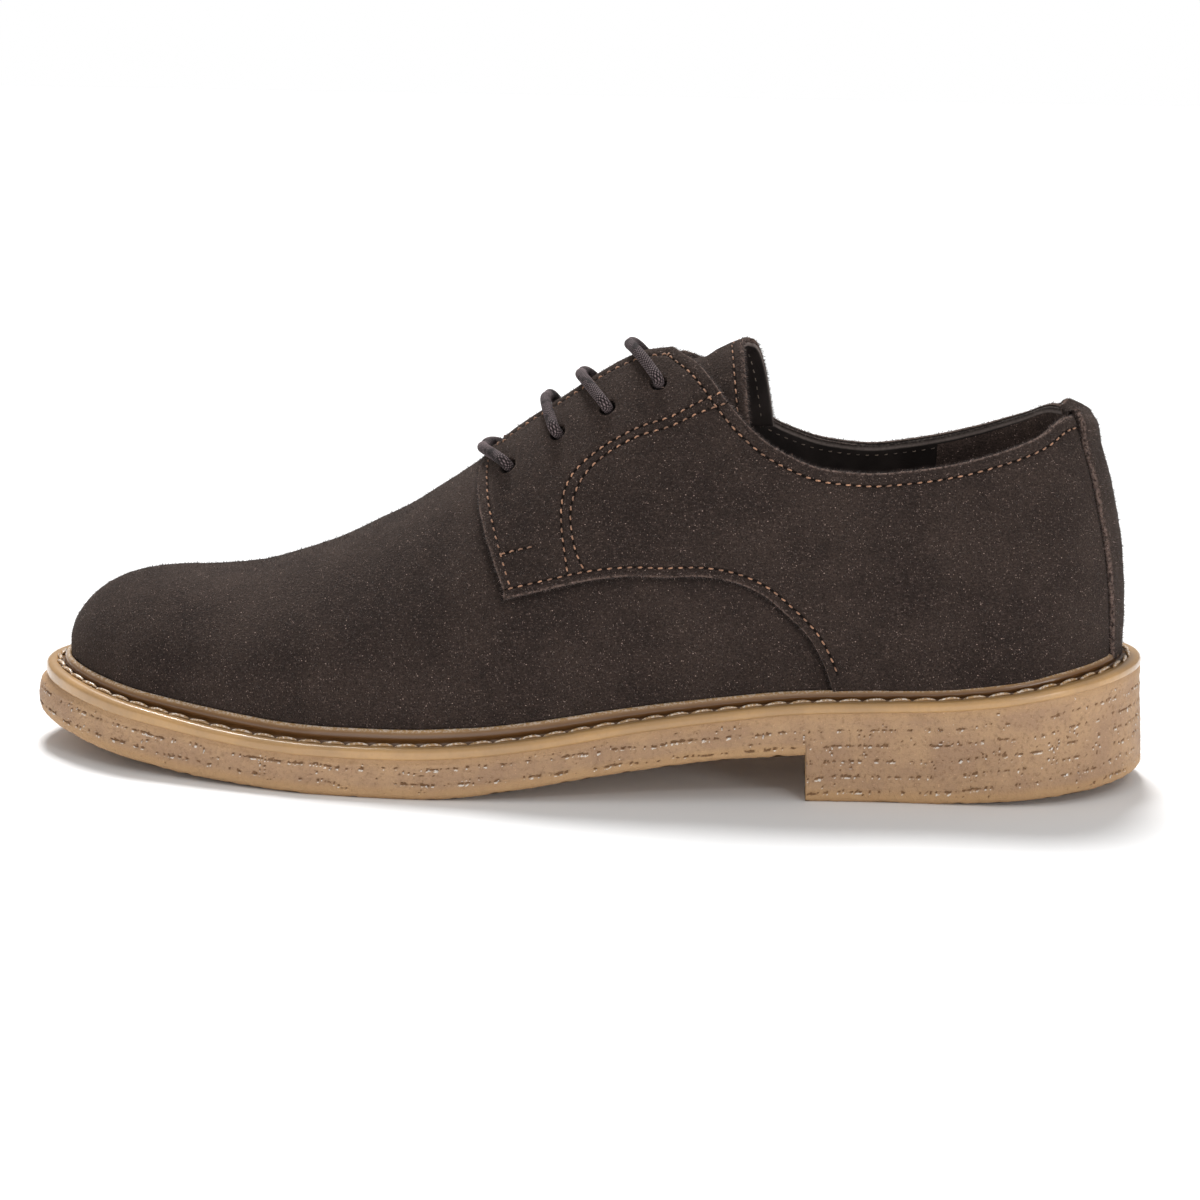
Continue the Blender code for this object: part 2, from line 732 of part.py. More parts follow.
def build_outsole(bm):
    """The sole in one piece: forefoot, waist and heel block, with a ribbed side."""
    places = sole_walks()
    spans = (-1.0, -0.55, 0.0, 0.55, 1.0)
    across = len(spans)
    rings = []
    for walk in places:
        ends = {side: Rib(walk, side) for side in (-1, 1)}
        station = ends[1].station
        # the level of the underside belongs to the outer edge of the sole
        top = feather_height(station)
        edge_station = station
        if walk < 1.0:
            edge_station = max(station - (1 - walk) * WELT_WIDTH / LENGTH, 0.0)
        if walk > 2.0:
            edge_station = min(station + (walk - 2) * WELT_WIDTH / LENGTH, 1.0)
        low = tread_height(edge_station)
        wall = []
        for side in (-1, 1):
            points = [outline_point(walk, side, WELT_WIDTH - SIDE_STEP, top)]
            for down, flare in SOLE_SIDE:
                outward = WELT_WIDTH + SOLE_FLARE * flare
                points.append(outline_point(walk, side, outward, top - (top - low) * down))
            foot = WELT_WIDTH + SOLE_FLARE
            points.append(outline_point(walk, side, foot, low + SOLE_EDGE))
            points.append(outline_point(walk, side, foot - SOLE_EDGE, low))
            wall.append(points)
        rings.append((station, low, wall))

    def rung(first, last, bow):
        points = []
        for span in spans:
            blend = (span + 1) / 2
            point = first.lerp(last, blend)
            point.x -= bow * (1 - span * span)
            points.append(point)
        return points

    breast = HEEL_BREAST / LENGTH
    top_rows, bottom_rows, outer_wall, inner_wall = [], [], [], []
    for station, low, wall in rings:
        near = abs(station - breast) < 0.003
        bow = -BREAST_HOLLOW if near else 0.0
        top_line = rung(wall[0][0], wall[1][0], 0.0)
        low_line = rung(wall[0][-1], wall[1][-1], bow)
        top_rows.append([bm.verts.new(p) for p in top_line])
        bottom_rows.append([bm.verts.new(p) for p in low_line])
        middle = range(1, len(wall[0]) - 1)
        outer_wall.append([top_rows[-1][0]] + [bm.verts.new(wall[0][k]) for k in middle]
                          + [bottom_rows[-1][0]])
        inner_wall.append([top_rows[-1][across - 1]]
                          + [bm.verts.new(wall[1][k]) for k in middle]
                          + [bottom_rows[-1][across - 1]])
    for rows in (top_rows, bottom_rows, outer_wall, inner_wall):
        grid_faces(bm, rows)


def make_outsole():
    return new_object("outsole", build_outsole, (0.50, 0.34, 0.20), 0.55)


def build_welt(bm):
    """A smooth strip round the upper, with a lip that laps it and a stitch groove."""
    rings = []
    places = walks()
    loop = [(w, -1) for w in places] + [(w, 1) for w in reversed(places[1:-1])]
    for walk, side in loop:
        rib = Rib(walk, side)
        base = feather_height(rib.station) + GAP
        lip = rib.low + RAND_HEIGHT

        def against(height, stand):
            climb = max(height - rib.low, 0.0) / (rib.high - rib.low)
            rise = math.asin(min(climb, 1.0) ** (rib.square / 2)) * 2 / math.pi
            point = last_point(min(walk, 2.999), side, rise, 0.0)
            outward = outline_normal(walk, side)
            if walk < 1e-6 or walk > 3.0 - 1e-6:
                point.y = (Rib(walk, -1).foot.y + Rib(walk, 1).foot.y) / 2
            point = point + outward * stand
            point.z = height
            return point

        top = base + WELT_THICKNESS
        ring = [
            against(base, GAP),
            against(lip, GAP),
            against(lip - RAND_EDGE, GAP + RAND_THICKNESS / 2),
            against(top, GAP + RAND_THICKNESS),
        ]
        for share, drop in WELT_TOP:
            ring.append(outline_point(walk, side, WELT_WIDTH * share, top - RAND_GROOVE * drop))
        ring.append(outline_point(walk, side, WELT_WIDTH, base))
        rings.append(ring)
    made = [[bm.verts.new(p) for p in ring] for ring in rings]
    for ring, following in zip(made, made[1:] + made[:1]):
        count = len(ring)
        for k in range(count):
            nxt = (k + 1) % count
            bm.faces.new([ring[k], ring[nxt], following[nxt], following[k]])


def make_welt():
    return new_object("welt", build_welt, (0.62, 0.38, 0.17), 0.30)


def build_insole(bm):
    """The footbed, cut to the inside of the upper and lying on the sole."""
    inset = UPPER_WALL + GAP * 2
    spans = 4
    levels = []
    for lift in (GAP, GAP + INSOLE_THICKNESS):
        rows = []
        for walk in walks():
            ends = [outline_point(walk, side, -inset, 0.0) for side in (-1, 1)]
            height = feather_height(Rib(walk, 1).station) + lift
            row = []
            for k in range(spans + 1):
                point = ends[0].lerp(ends[1], k / spans)
                point.z = height
                row.append(point)
            rows.append(row)
        levels.append(rows)
    shell_between(bm, levels[1], levels[0])


def make_insole():
    return new_object("insole", build_insole, (0.10, 0.07, 0.05), 0.60)


def tongue_point(station, share, depth):
    """share runs from -1 at the outer edge to +1 at the inner edge."""
    side = -1 if share < 0 else 1
    rib = Rib(walk_at(station), side)
    crown = TOE_BOX_HEIGHT + row_value(TONGUE, station, 1) * (INSTEP_HEIGHT - TOE_BOX_HEIGHT)
    width = row_value(TONGUE, station, 2) * BALL_WIDTH * abs(share)
    low, high = 0.3, 1.0
    for _ in range(30):
        middle = (low + high) / 2
        if arc_from_top(rib, middle, crown) > width:
            low = middle
        else:
            high = middle
    normal = surface_normal(walk_at(station), side, max(low, 0.31), crown)
    if abs(share) < 1e-6:
        normal = Vector((-crown_slope(station), 0, 1)).normalized()
    return rib.at(low, crown) + normal * (-depth)


def crown_slope(station):
    step = 0.01
    scale = INSTEP_HEIGHT - TOE_BOX_HEIGHT
    rise = (row_value(TONGUE, station - step, 1) - row_value(TONGUE, station + step, 1)) * scale
    return rise / (2 * step * LENGTH)


def arc_from_top(rib, rise, crown):
    steps = 8
    points = [rib.at(rise + (1 - rise) * i / steps, crown) for i in range(steps + 1)]
    return sum((a - b).length for a, b in zip(points, points[1:]))


def build_tongue(bm):
    """The tongue lies under the facings and stands up behind them."""
    lengths, widths = 12, 10
    skins = []
    for extra in (0.0, TONGUE_THICKNESS):
        depth = UPPER_WALL + TONGUE_DROP + extra
        rows = []
        for i in range(lengths + 1):
            row = []
            for k in range(widths + 1):
                share = -1 + 2 * k / widths
                tip = TONGUE_TIP - TONGUE_LEAN * abs(share) ** 1.5
                station = TONGUE_FRONT + (tip - TONGUE_FRONT) * i / lengths
                row.append(tongue_point(station, share, depth))
            rows.append(row)
        skins.append(rows)
    shell_between(bm, skins[0], skins[1])


def make_tongue():
    return new_object("tongue", build_tongue, (0.06, 0.04, 0.03), 0.95)


def build_backstay(bm):
    """A strip up the back seam, with a small folded bump at its top."""
    rows, columns = 12, 6
    back = [Rib(0.0, -1), Rib(0.0, 1)]
    low = rand_rise(back[0])
    top = rim_rise(back[0])
    skins = []
    for proud in (OVERLAY_STEP + GAP, OVERLAY_STEP + GAP + BACKSTAY_THICKNESS):
        grid = []
        for i in range(rows + 1):
            share = i / rows
            rise = low + (top - low) * share
            thick = proud
            if proud > OVERLAY_STEP + GAP:
                thick += BACKSTAY_FOLD * max(1 - abs(share - FOLD_PLACE) / FOLD_REACH, 0.0)
            row = []
            for k in range(columns + 1):
                across = (-1 + 2 * k / columns) * BACKSTAY_WIDTH / 2
                side = -1 if across < 0 else 1
                walk = walk_round_heel(abs(across), side, rise)
                point = last_point(walk, side, rise, thick)
                if abs(across) < 1e-9:
                    point = (last_point(0.0, -1, rise, 0.0) + last_point(0.0, 1, rise, 0.0)) / 2
                    point += back_normal(rise) * thick
                row.append(point)
            grid.append(row)
        skins.append(grid)
    shell_between(bm, skins[1], skins[0])


def back_normal(rise):
    step = 0.01
    up = Rib(0.0, 1).at(min(rise + step, 0.99)) - Rib(0.0, 1).at(max(rise - step, 0.001))
    return Vector((up.z, 0, -up.x)).normalized()


def walk_round_heel(distance, side, rise):
    """The walk value that lies a distance round the heel from its back seam."""
    low, high = 0.0, 1.0
    for _ in range(30):
        middle = (low + high) / 2
        if abs(Rib(middle, side).at(rise).y - Rib(0.0, side).at(rise).y) < distance:
            low = middle
        else:
            high = middle
    return low


def make_backstay():
    return new_object("backstay", build_backstay, (0.055, 0.036, 0.025), 0.95)


def lace_route():
    """The lace's path with its radius: bars over the throat, joined by hidden runs."""
    route = []
    sunk = UPPER_WALL + GAP + LACE_HIDDEN / 2
    full, flat = LACE_DIAMETER / 2, LACE_HIDDEN / 2
    places = {side: eyelet_places(side) for side in (-1, 1)}
    for i in range(EYELETS):
        first = -1 if i % 2 == 0 else 1
        start, start_axis = places[first][i]
        end, end_axis = places[-first][i]
        route.append((start - start_axis * sunk, flat))
        route.append((start - start_axis * UPPER_WALL * 0.3, full * 0.9))
        route += bar_points(i, first, full)
        route.append((end - end_axis * UPPER_WALL * 0.3, full * 0.9))
        route.append((end - end_axis * sunk, flat))
        if i < EYELETS - 1:
            after, after_axis = places[-first][i + 1]
            route += hidden_run(end, end_axis, after, after_axis, sunk, flat)
    return route


def bar_points(index, first, radius):
    """A round arch from one eyelet over the throat to the other, leaning to the toe."""
    samples = 14
    points = []
    stand = OVERLAY_STEP + GAP * 2 + radius
    for i in range(samples + 1):
        t = i / samples
        side = first if t < 0.5 else -first
        station, rise = eyelet_rises(side)[index]
        out = abs(2 * t - 1)
        station += LACE_LEAN * (1 - out ** 1.6)
        rise += (1 - rise) * (1 - out)
        point = last_point(walk_at(station), side, min(rise, 0.985), stand)
        if abs(out) < 1e-6:
            point.y = ridge_across(station)
        points.append((point, radius))
    return points


def hidden_run(start, start_axis, end, end_axis, sunk, radius):
    """The pressed run under a facing, from one eyelet to the next."""
    points = []
    samples = 4
    for i in range(1, samples):
        t = i / samples
        axis = start_axis.lerp(end_axis, t).normalized()
        points.append((start.lerp(end, t) - axis * (sunk + GAP), radius))
    return points


def build_tube(bm, route, sides=8):
    """A closed tube along a route of points with radii."""
    rings = []
    reference = Vector((0.0, 0.0, 1.0))
    for i, (point, radius) in enumerate(route):
        before = route[max(i - 1, 0)][0]
        after = route[min(i + 1, len(route) - 1)][0]
        direction = (after - before).normalized()
        if i == 0:
            reference = direction.orthogonal()
        reference = (reference - direction * reference.dot(direction)).normalized()
        other = direction.cross(reference)
        rings.append([bm.verts.new(point + (reference * math.cos(a) + other * math.sin(a))
                                   * radius)
                      for a in (2 * math.pi * k / sides for k in range(sides))])
    for ring, following in zip(rings, rings[1:]):
        for k in range(sides):
            nxt = (k + 1) % sides
            bm.faces.new([ring[k], ring[nxt], following[nxt], following[k]])
    bm.faces.new(list(reversed(rings[0])))
    bm.faces.new(rings[-1])


def make_laces():
    return new_object("laces", lambda bm: build_tube(bm, lace_route()), (0.05, 0.04, 0.035), 0.8)


def main():
    for obj in list(bpy.data.objects):
        bpy.data.objects.remove(obj, do_unlink=True)
    make_outsole()
    make_welt()
    make_insole()
    make_upper()
    make_tongue()
    make_backstay()
    make_laces()


main()
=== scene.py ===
"""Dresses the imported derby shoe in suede, linings, seams, laces and a crepe sole.

Metres, +Z up. The toe points along -X, and the outer side of the foot faces -Y.
Stations run from 0 at the back of the heel to 1 at the tip of the sole.
"""

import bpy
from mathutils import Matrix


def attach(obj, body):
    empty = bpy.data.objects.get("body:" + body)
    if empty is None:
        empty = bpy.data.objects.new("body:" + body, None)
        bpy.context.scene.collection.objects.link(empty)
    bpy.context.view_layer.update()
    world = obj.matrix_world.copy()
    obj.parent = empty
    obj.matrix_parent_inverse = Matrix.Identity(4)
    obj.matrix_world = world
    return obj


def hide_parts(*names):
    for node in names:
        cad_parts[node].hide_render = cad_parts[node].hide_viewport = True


bl_info = {
    "name": "Derby shoe dresser",
    "version": (1, 0, 0),
    "blender": (4, 5, 0),
    "location": "3D View > Sidebar > Shoe",
    "description": "Dresses a packed derby shoe in suede, linings, seams, laces and crepe",
    "category": "Object",
}

import math

import bmesh
import bpy
import numpy as np
from mathutils import Matrix, Vector, kdtree, noise

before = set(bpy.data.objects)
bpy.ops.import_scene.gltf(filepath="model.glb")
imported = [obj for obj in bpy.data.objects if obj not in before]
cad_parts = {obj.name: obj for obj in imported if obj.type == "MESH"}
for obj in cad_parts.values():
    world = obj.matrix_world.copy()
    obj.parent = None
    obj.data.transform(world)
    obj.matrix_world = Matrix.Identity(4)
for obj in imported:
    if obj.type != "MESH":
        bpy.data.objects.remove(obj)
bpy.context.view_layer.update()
MM = 0.001
WELD = 0.02 * MM

# Sizes of the last and the sole, in metres
LENGTH = 0.302
BALL_WIDTH = 0.091
HEEL_WIDTH = 0.060
INSTEP_HEIGHT = 0.1125
HEEL_HEIGHT = 0.0250
FOREFOOT_HEIGHT = 0.0111
COLLAR_HEIGHT = 0.0838
TOE_BOX_HEIGHT = 0.0477
TOE_SPRING = 0.0090
WELT_WIDTH = 0.0070
UPPER_WALL = 0.0020
OVERLAY_STEP = 0.0011
GAP = 0.0003
HEEL_BREAST = 0.0905
BREAST_HOLLOW = 0.0030
BREAST_RUN = 0.0004
HEEL_BEVEL = 0.0046
WAIST_LIFT = 0.0122
SOLE_FLARE = 0.0014
SOLE_EDGE = 0.0012
WELT_THICKNESS = 0.0034
RAND_HEIGHT = 0.0046
INSOLE_THICKNESS = 0.0030
TONGUE_THICKNESS = 0.0024
TONGUE_DROP = 0.0024
BACKSTAY_WIDTH = 0.0190
BACKSTAY_THICKNESS = 0.0011
BACKSTAY_FOLD = 0.0010
STRIP_HALVES = (0.0122, 0.0138, 0.0147, 0.0130, 0.0108)
EYELETS = 4
EYELET_BORE = 0.0047
EYELET_INSETS = (0.0172, 0.0155, 0.0160, 0.0127)
LACE_DIAMETER = 0.0029
LACE_LEANS = (0.0285, 0.0145, 0.0266, 0.0272)
LACE_HIDDEN = 0.0012
THROAT_GAP = 0.0150
THROAT_FLARE = 0.0010

# Stations of the main features
HEEL_CENTRE = 0.145
TOE_CENTRE = 0.868
UPPER_BACK = (WELT_WIDTH + SOLE_FLARE) / LENGTH
UPPER_TIP = 1.0 - UPPER_BACK
THROAT_FRONT = 0.587
HEEL_FLAT = 0.190
COLLAR_FRONT = 0.300
THROAT_TOP = 0.420
EYELET_FIRST = 0.561
EYELET_LAST = 0.434
TONGUE_FRONT = 0.640
TONGUE_TIP = 0.365
TONGUE_SEAM = 0.0100
TONGUE_LEANS = {-1: (0.012, 1.2), 1: (0.029, 0.42)}
THROAT_ROUND = 0.05
FOLD_PLACE = 0.93
FOLD_REACH = 0.10
TOE_SQUARENESS = 2.15
VAMP_BACK = 0.262

# Plan of the last: station, outer and inner half widths, middle line, in ball widths
PLAN = [
    (0.0, 0.3, 0.3, 0.01), (0.06, 0.322, 0.335, 0.01), (0.145, 0.327, 0.34, 0.01),
    (0.21, 0.33, 0.325, 0.008), (0.28, 0.345, 0.295, 0.004), (0.35, 0.378, 0.272, 0.004),
    (0.42, 0.415, 0.278, 0.01), (0.49, 0.452, 0.318, 0.022), (0.56, 0.485, 0.378, 0.036),
    (0.64, 0.503, 0.45, 0.045), (0.71, 0.49, 0.492, 0.045), (0.78, 0.44, 0.478, 0.04),
    (0.868, 0.345, 0.405, 0.034), (0.94, 0.265, 0.345, 0.03), (1.0, 0.215, 0.3, 0.028),
]
# Feather edge: station, share of the heel's rise, share of the toe spring
FEATHER = [
    (0.0, 1.5, 0.0), (0.03, 1.45, 0.0), (0.06, 1.34, 0.0), (0.095, 1.19, 0.0), (0.145, 1.0, 0.0),
    (0.19, 0.9, 0.0), (0.25, 0.85, 0.0), (0.31, 0.8, 0.0), (0.38, 0.67, 0.0), (0.44, 0.52, 0.0),
    (0.53, 0.21, 0.0), (0.58, 0.085, 0.0), (0.64, 0.015, 0.0), (0.7, 0.0, 0.0), (0.75, 0.0, 0.04),
    (0.803, 0.0, 0.18), (0.86, 0.0, 0.37), (0.915, 0.0, 0.61), (0.957, 0.0, 0.84),
    (1.0, 0.0, 1.1),
]
# Top line of the last: station, rise, squareness of the section, swell
CROWN = [
    (0.0, 1.06, 2.0, 0.01), (0.06, 1.16, 2.0, 0.02), (0.145, 1.35, 2.0, 0.04),
    (0.3, 1.35, 2.0, 0.05), (0.36, 1.2, 2.02, 0.05), (0.4, 1.085, 2.05, 0.048),
    (0.423, 1.03, 2.05, 0.044), (0.445, 1.01, 2.05, 0.042), (0.468, 0.962, 2.05, 0.04),
    (0.52, 0.795, 2.05, 0.036), (0.56, 0.662, 2.05, 0.034), (0.6, 0.494, 2.05, 0.032),
    (0.658, 0.316, 2.1, 0.03), (0.694, 0.221, 2.15, 0.028), (0.731, 0.139, 2.2, 0.027),
    (0.768, 0.077, 2.3, 0.026), (0.805, 0.028, 2.4, 0.024), (0.868, 0.0, 2.55, 0.02),
    (1.0, 0.0, 2.6, 0.018),
]
# Rim of the collar: station, share of its rise on the outer and the inner side
COLLAR = [
    (0.0, 0.5, 0.5), (0.06, 0.49, 0.497), (0.075, 0.45, 0.47), (0.098, 0.35, 0.39),
    (0.137, 0.225, 0.27), (0.178, 0.1, 0.15), (0.214, 0.035, 0.075), (0.25, 0.0, 0.034),
    (0.286, 0.025, 0.07), (0.328, 0.185, 0.215), (0.353, 0.365, 0.385), (0.374, 0.59, 0.58),
    (0.39, 0.79, 0.75), (0.402, 0.9, 0.855), (0.423, 1.0, 0.95), (0.455, 1.2, 1.2),
    (1.0, 1.2, 1.2),
]
# Underside of the sole: station, share of the waist's lift, share of the toe spring
TREAD = [
    (0.3, 1.0, 0.0), (0.37, 0.9, 0.0), (0.42, 0.75, 0.0), (0.47, 0.56, 0.0), (0.52, 0.34, 0.0),
    (0.56, 0.17, 0.0), (0.6, 0.03, 0.0), (0.62, 0.0, 0.0), (0.71, 0.0, 0.0), (0.76, 0.0, 0.05),
    (0.811, 0.0, 0.14), (0.845, 0.0, 0.24), (0.88, 0.0, 0.39), (0.912, 0.0, 0.54),
    (0.944, 0.0, 0.72), (1.0, 0.0, 1.0),
]
# Lower edge of the quarter: station, rise on the section
QUARTER_EDGE = [
    (0.272, 0.0), (0.277, 0.035), (0.286, 0.075), (0.297, 0.108), (0.319, 0.15), (0.34, 0.188),
    (0.366, 0.22), (0.402, 0.245), (0.449, 0.265), (0.503, 0.29), (0.557, 0.31),
]
# Front edge of the facing: share of the way up, station
FACING_EDGE = [
    (0.0, 0.557), (0.15, 0.567), (0.33, 0.577), (0.54, 0.585), (0.84, 0.59), (0.94, 0.587),
    (1.0, 0.582),
]
# Tongue: station, top line, half width in ball widths
TONGUE = [
    (0.342, 1.118, 0.38), (0.362, 1.115, 0.375), (0.385, 1.073, 0.35), (0.4, 1.03, 0.325),
    (0.423, 1.015, 0.3), (0.445, 1.0, 0.285), (0.468, 0.962, 0.275), (0.52, 0.795, 0.26),
    (0.56, 0.662, 0.24), (0.6, 0.494, 0.225), (0.64, 0.365, 0.21),
]
# The two rows of stitches that curve across the quarter: station, rise
OUTER_ARC = [
    (0.377, 0.6), (0.4, 0.602), (0.428, 0.592), (0.456, 0.578), (0.482, 0.565), (0.5, 0.545),
    (0.508, 0.515), (0.511, 0.47), (0.51, 0.42), (0.507, 0.37), (0.503, 0.312),
]
INNER_ARC = [
    (0.373, 0.566), (0.4, 0.573), (0.428, 0.567), (0.456, 0.555), (0.476, 0.543), (0.491, 0.523),
    (0.499, 0.492), (0.503, 0.45), (0.501, 0.398), (0.497, 0.352), (0.489, 0.305),
]
# The short row at the facing's lower corner: station, rise
BAR_ROW = [(0.563, 0.423), (0.548, 0.414), (0.533, 0.404)]

# Creases: from and to as station and rise, half width and depth in millimetres,
# a negative depth being a ridge, and the side of the foot, 0 for both
CREASES = [
    # station, rise, station, rise, half width, depth, side
    (0.700, 0.30, 0.655, 0.95, 5.0, 0.50, 0),
    (0.672, 0.22, 0.628, 0.80, 4.5, 0.35, -1),
    (0.725, 0.36, 0.690, 1.00, 6.0, -0.30, 0),
    (0.640, 0.20, 0.610, 0.62, 4.0, 0.40, 0),
    (0.800, 0.30, 0.760, 0.80, 7.0, 0.30, 0),
    (0.330, 0.42, 0.300, 0.18, 6.0, 0.45, -1),
    (0.372, 0.40, 0.352, 0.24, 5.0, -0.35, -1),
    (0.240, 0.46, 0.190, 0.20, 7.0, 0.40, 1),
    (0.215, 0.50, 0.225, 0.15, 7.0, 0.35, -1),
    (0.445, 0.46, 0.400, 0.32, 6.0, 0.35, 0),
    (0.120, 0.30, 0.150, 0.55, 6.0, 0.30, 0),
]


def row_value(rows, station, column):
    """A table's column at a station, on a smooth curve through its rows."""
    if station <= rows[0][0]:
        return rows[0][column]
    if station >= rows[-1][0]:
        return rows[-1][column]
    index = min(max(i for i in range(len(rows)) if rows[i][0] <= station), len(rows) - 2)
    low, high = rows[index], rows[index + 1]
    before, after = rows[max(index - 1, 0)], rows[min(index + 2, len(rows) - 1)]
    run, step = high[0] - low[0], high[column] - low[column]

    def slope(first, middle, last):
        left = (middle[column] - first[column]) / max(middle[0] - first[0], 1e-9)
        right = (last[column] - middle[column]) / max(last[0] - middle[0], 1e-9)
        if first is middle:
            return right
        if last is middle:
            return left
        return 0.0 if left * right <= 0 else 2 * left * right / (left + right)

    t = (station - low[0]) / run
    start, end = slope(before, low, high) * run, slope(low, high, after) * run
    return (low[column] + start * t + (3 * step - 2 * start - end) * t ** 2
            + (start + end - 2 * step) * t ** 3)


class Curve:
    """A table's column as a smooth curve that takes whole arrays of stations."""

    def __init__(self, rows, column):
        self.places = np.linspace(0.0, 1.0, 2001)
        self.values = np.array([row_value(rows, s, column) for s in self.places])

    def __call__(self, station):
        return np.interp(station, self.places, self.values)


WIDTH = {-1: Curve(PLAN, 1), 1: Curve(PLAN, 2)}
RIDGE = Curve(PLAN, 3)
FEATHER_HEEL, FEATHER_TOE = Curve(FEATHER, 1), Curve(FEATHER, 2)
TOP_LINE, SQUARENESS, SWELL = Curve(CROWN, 1), Curve(CROWN, 2), Curve(CROWN, 3)
RIM = {-1: Curve(COLLAR, 1), 1: Curve(COLLAR, 2)}
TREAD_WAIST, TREAD_TOE = Curve(TREAD, 1), Curve(TREAD, 2)
TONGUE_TOP, TONGUE_HALF = Curve(TONGUE, 1), Curve(TONGUE, 2)
QUARTER_LOW = Curve(QUARTER_EDGE, 1)
FACING_LEAN = Curve(FACING_EDGE, 1)


def feather_height(station):
    """Floor to the edge where the upper meets the sole."""
    heel = FEATHER_HEEL(station) * (HEEL_HEIGHT - FOREFOOT_HEIGHT)
    return FOREFOOT_HEIGHT + heel + FEATHER_TOE(station) * TOE_SPRING


def half_width(station, side):
    blend = np.clip((station - HEEL_CENTRE) / (0.5 - HEEL_CENTRE), 0.0, 1.0)
    blend = blend * blend * (3 - 2 * blend)
    shares = WIDTH[-1](HEEL_CENTRE) + WIDTH[1](HEEL_CENTRE)
    heel = HEEL_WIDTH / (BALL_WIDTH * shares)
    return WIDTH[side](station) * BALL_WIDTH * (heel + (1.0 - heel) * blend)


class Sections:
    """Sections of the last at an array of walks, on one side of the foot.

    A walk runs 0 to 1 round the heel, 1 to 2 along the waist and 2 to 3 round the toe.
    """

    def __init__(self, walk, side):
        self.walk, self.side = np.asarray(walk, float), side
        walk = self.walk
        heel_angle = np.clip(walk, 0.0, 1.0) * math.pi / 2
        toe_angle = np.clip(3.0 - walk, 0.0, 1.0) * math.pi / 2
        power = 2 / TOE_SQUARENESS
        heel = HEEL_CENTRE - (HEEL_CENTRE - UPPER_BACK) * np.cos(heel_angle)
        toe = TOE_CENTRE + (UPPER_TIP - TOE_CENTRE) * np.abs(np.cos(toe_angle)) ** power
        waist = HEEL_CENTRE + (TOE_CENTRE - HEEL_CENTRE) * (walk - 1.0)
        self.station = np.where(walk < 1, heel, np.where(walk > 2, toe, waist))
        self.centre_station = np.clip(self.station, HEEL_CENTRE, TOE_CENTRE)
        spread = np.where(walk < 1, np.sin(heel_angle),
                          np.where(walk > 2, np.abs(np.sin(toe_angle)) ** power, 1.0))
        middle = RIDGE(self.station) * BALL_WIDTH
        outward = side * half_width(self.station, side) - middle
        self.foot = np.stack([LENGTH * (0.5 - self.station), middle + outward * spread], -1)
        self.centre = np.stack([LENGTH * (0.5 - self.centre_station),
                                RIDGE(self.centre_station) * BALL_WIDTH], -1)
        self.low = feather_height(self.station)
        reach = np.minimum(self.station, self.centre_station)
        self.high = TOE_BOX_HEIGHT + TOP_LINE(reach) * (INSTEP_HEIGHT - TOE_BOX_HEIGHT)
        self.square = SQUARENESS(self.station)
        self.swell = SWELL(self.station) * BALL_WIDTH

    def at(self, rise, crown=None):
        """Points at a rise of 0 at the foot to 1 at the top of each section."""
        high = self.high if crown is None else crown
        angle = np.clip(rise, 0.0, 1.0) * math.pi / 2
        power = 2 / self.square
        reach = np.maximum(np.cos(angle), 0.0) ** power
        climb = np.sin(angle) ** power
        span = np.linalg.norm(self.foot - self.centre, axis=-1)
        swell = self.swell / np.maximum(span, 0.01)
        reach = reach + swell * np.sin(math.pi * climb) ** 2 * (1 - climb)
        plan = self.centre + (self.foot - self.centre) * reach[..., None]
        height = self.low + (high - self.low) * climb
        return np.concatenate([plan, height[..., None]], -1)


def unit(vectors):
    lengths = np.linalg.norm(vectors, axis=-1, keepdims=True)
    return vectors / np.maximum(lengths, 1e-12)


def last_points(walk, rise, side, crown=None):
    walk, rise = np.broadcast_arrays(np.asarray(walk, float), np.asarray(rise, float))
    return Sections(walk, side).at(rise, crown)


def last_normals(walk, rise, side, crown=None):
    """Outward directions of the last."""
    walk, rise = np.broadcast_arrays(np.asarray(walk, float), np.asarray(rise, float))
    step = 0.004
    low = np.clip(rise - step, 0.004, 0.988)
    back = np.clip(walk - 0.01, 0.0, 2.97)
    sections = Sections(walk, side)
    up = sections.at(low + 2 * step, crown) - sections.at(low, crown)
    level = np.clip(rise, 0.004, 0.996)
    along = last_points(back + 0.02, level, side, crown) - last_points(back, level, side, crown)
    normal = unit(np.cross(along, up) * side)
    outward = sections.foot - sections.centre
    wrong = ((normal[..., :2] * outward).sum(-1) < 0) & (rise < 0.5)
    return np.where(wrong[..., None], -normal, normal)


def surface(walk, rise, side):
    """Points of the last and the outward directions there."""
    return last_points(walk, rise, side), last_normals(walk, rise, side)


def rise_span(walk, rise, side):
    """How many millimetres of leather the whole rise would measure, by its last step."""
    step = last_points(walk, rise, side) - last_points(walk, rise - 0.02, side)
    return np.linalg.norm(step, axis=-1) / 0.02 / MM


def walk_at(station):
    """The walk of a station between the round heel and the round toe."""
    return 1.0 + (station - HEEL_CENTRE) / (TOE_CENTRE - HEEL_CENTRE)


def throat_half_gap(station, closing):
    """Half the gap between the facings; the vamp's end of it closes in a small round."""
    along = np.clip((THROAT_FRONT - station) / (THROAT_FRONT - THROAT_TOP), 0.0, 1.0)
    gap = (THROAT_GAP + THROAT_FLARE * along) / 2
    if closing:
        gap = gap * np.sqrt(np.minimum(along / THROAT_ROUND, 1.0))
    return gap


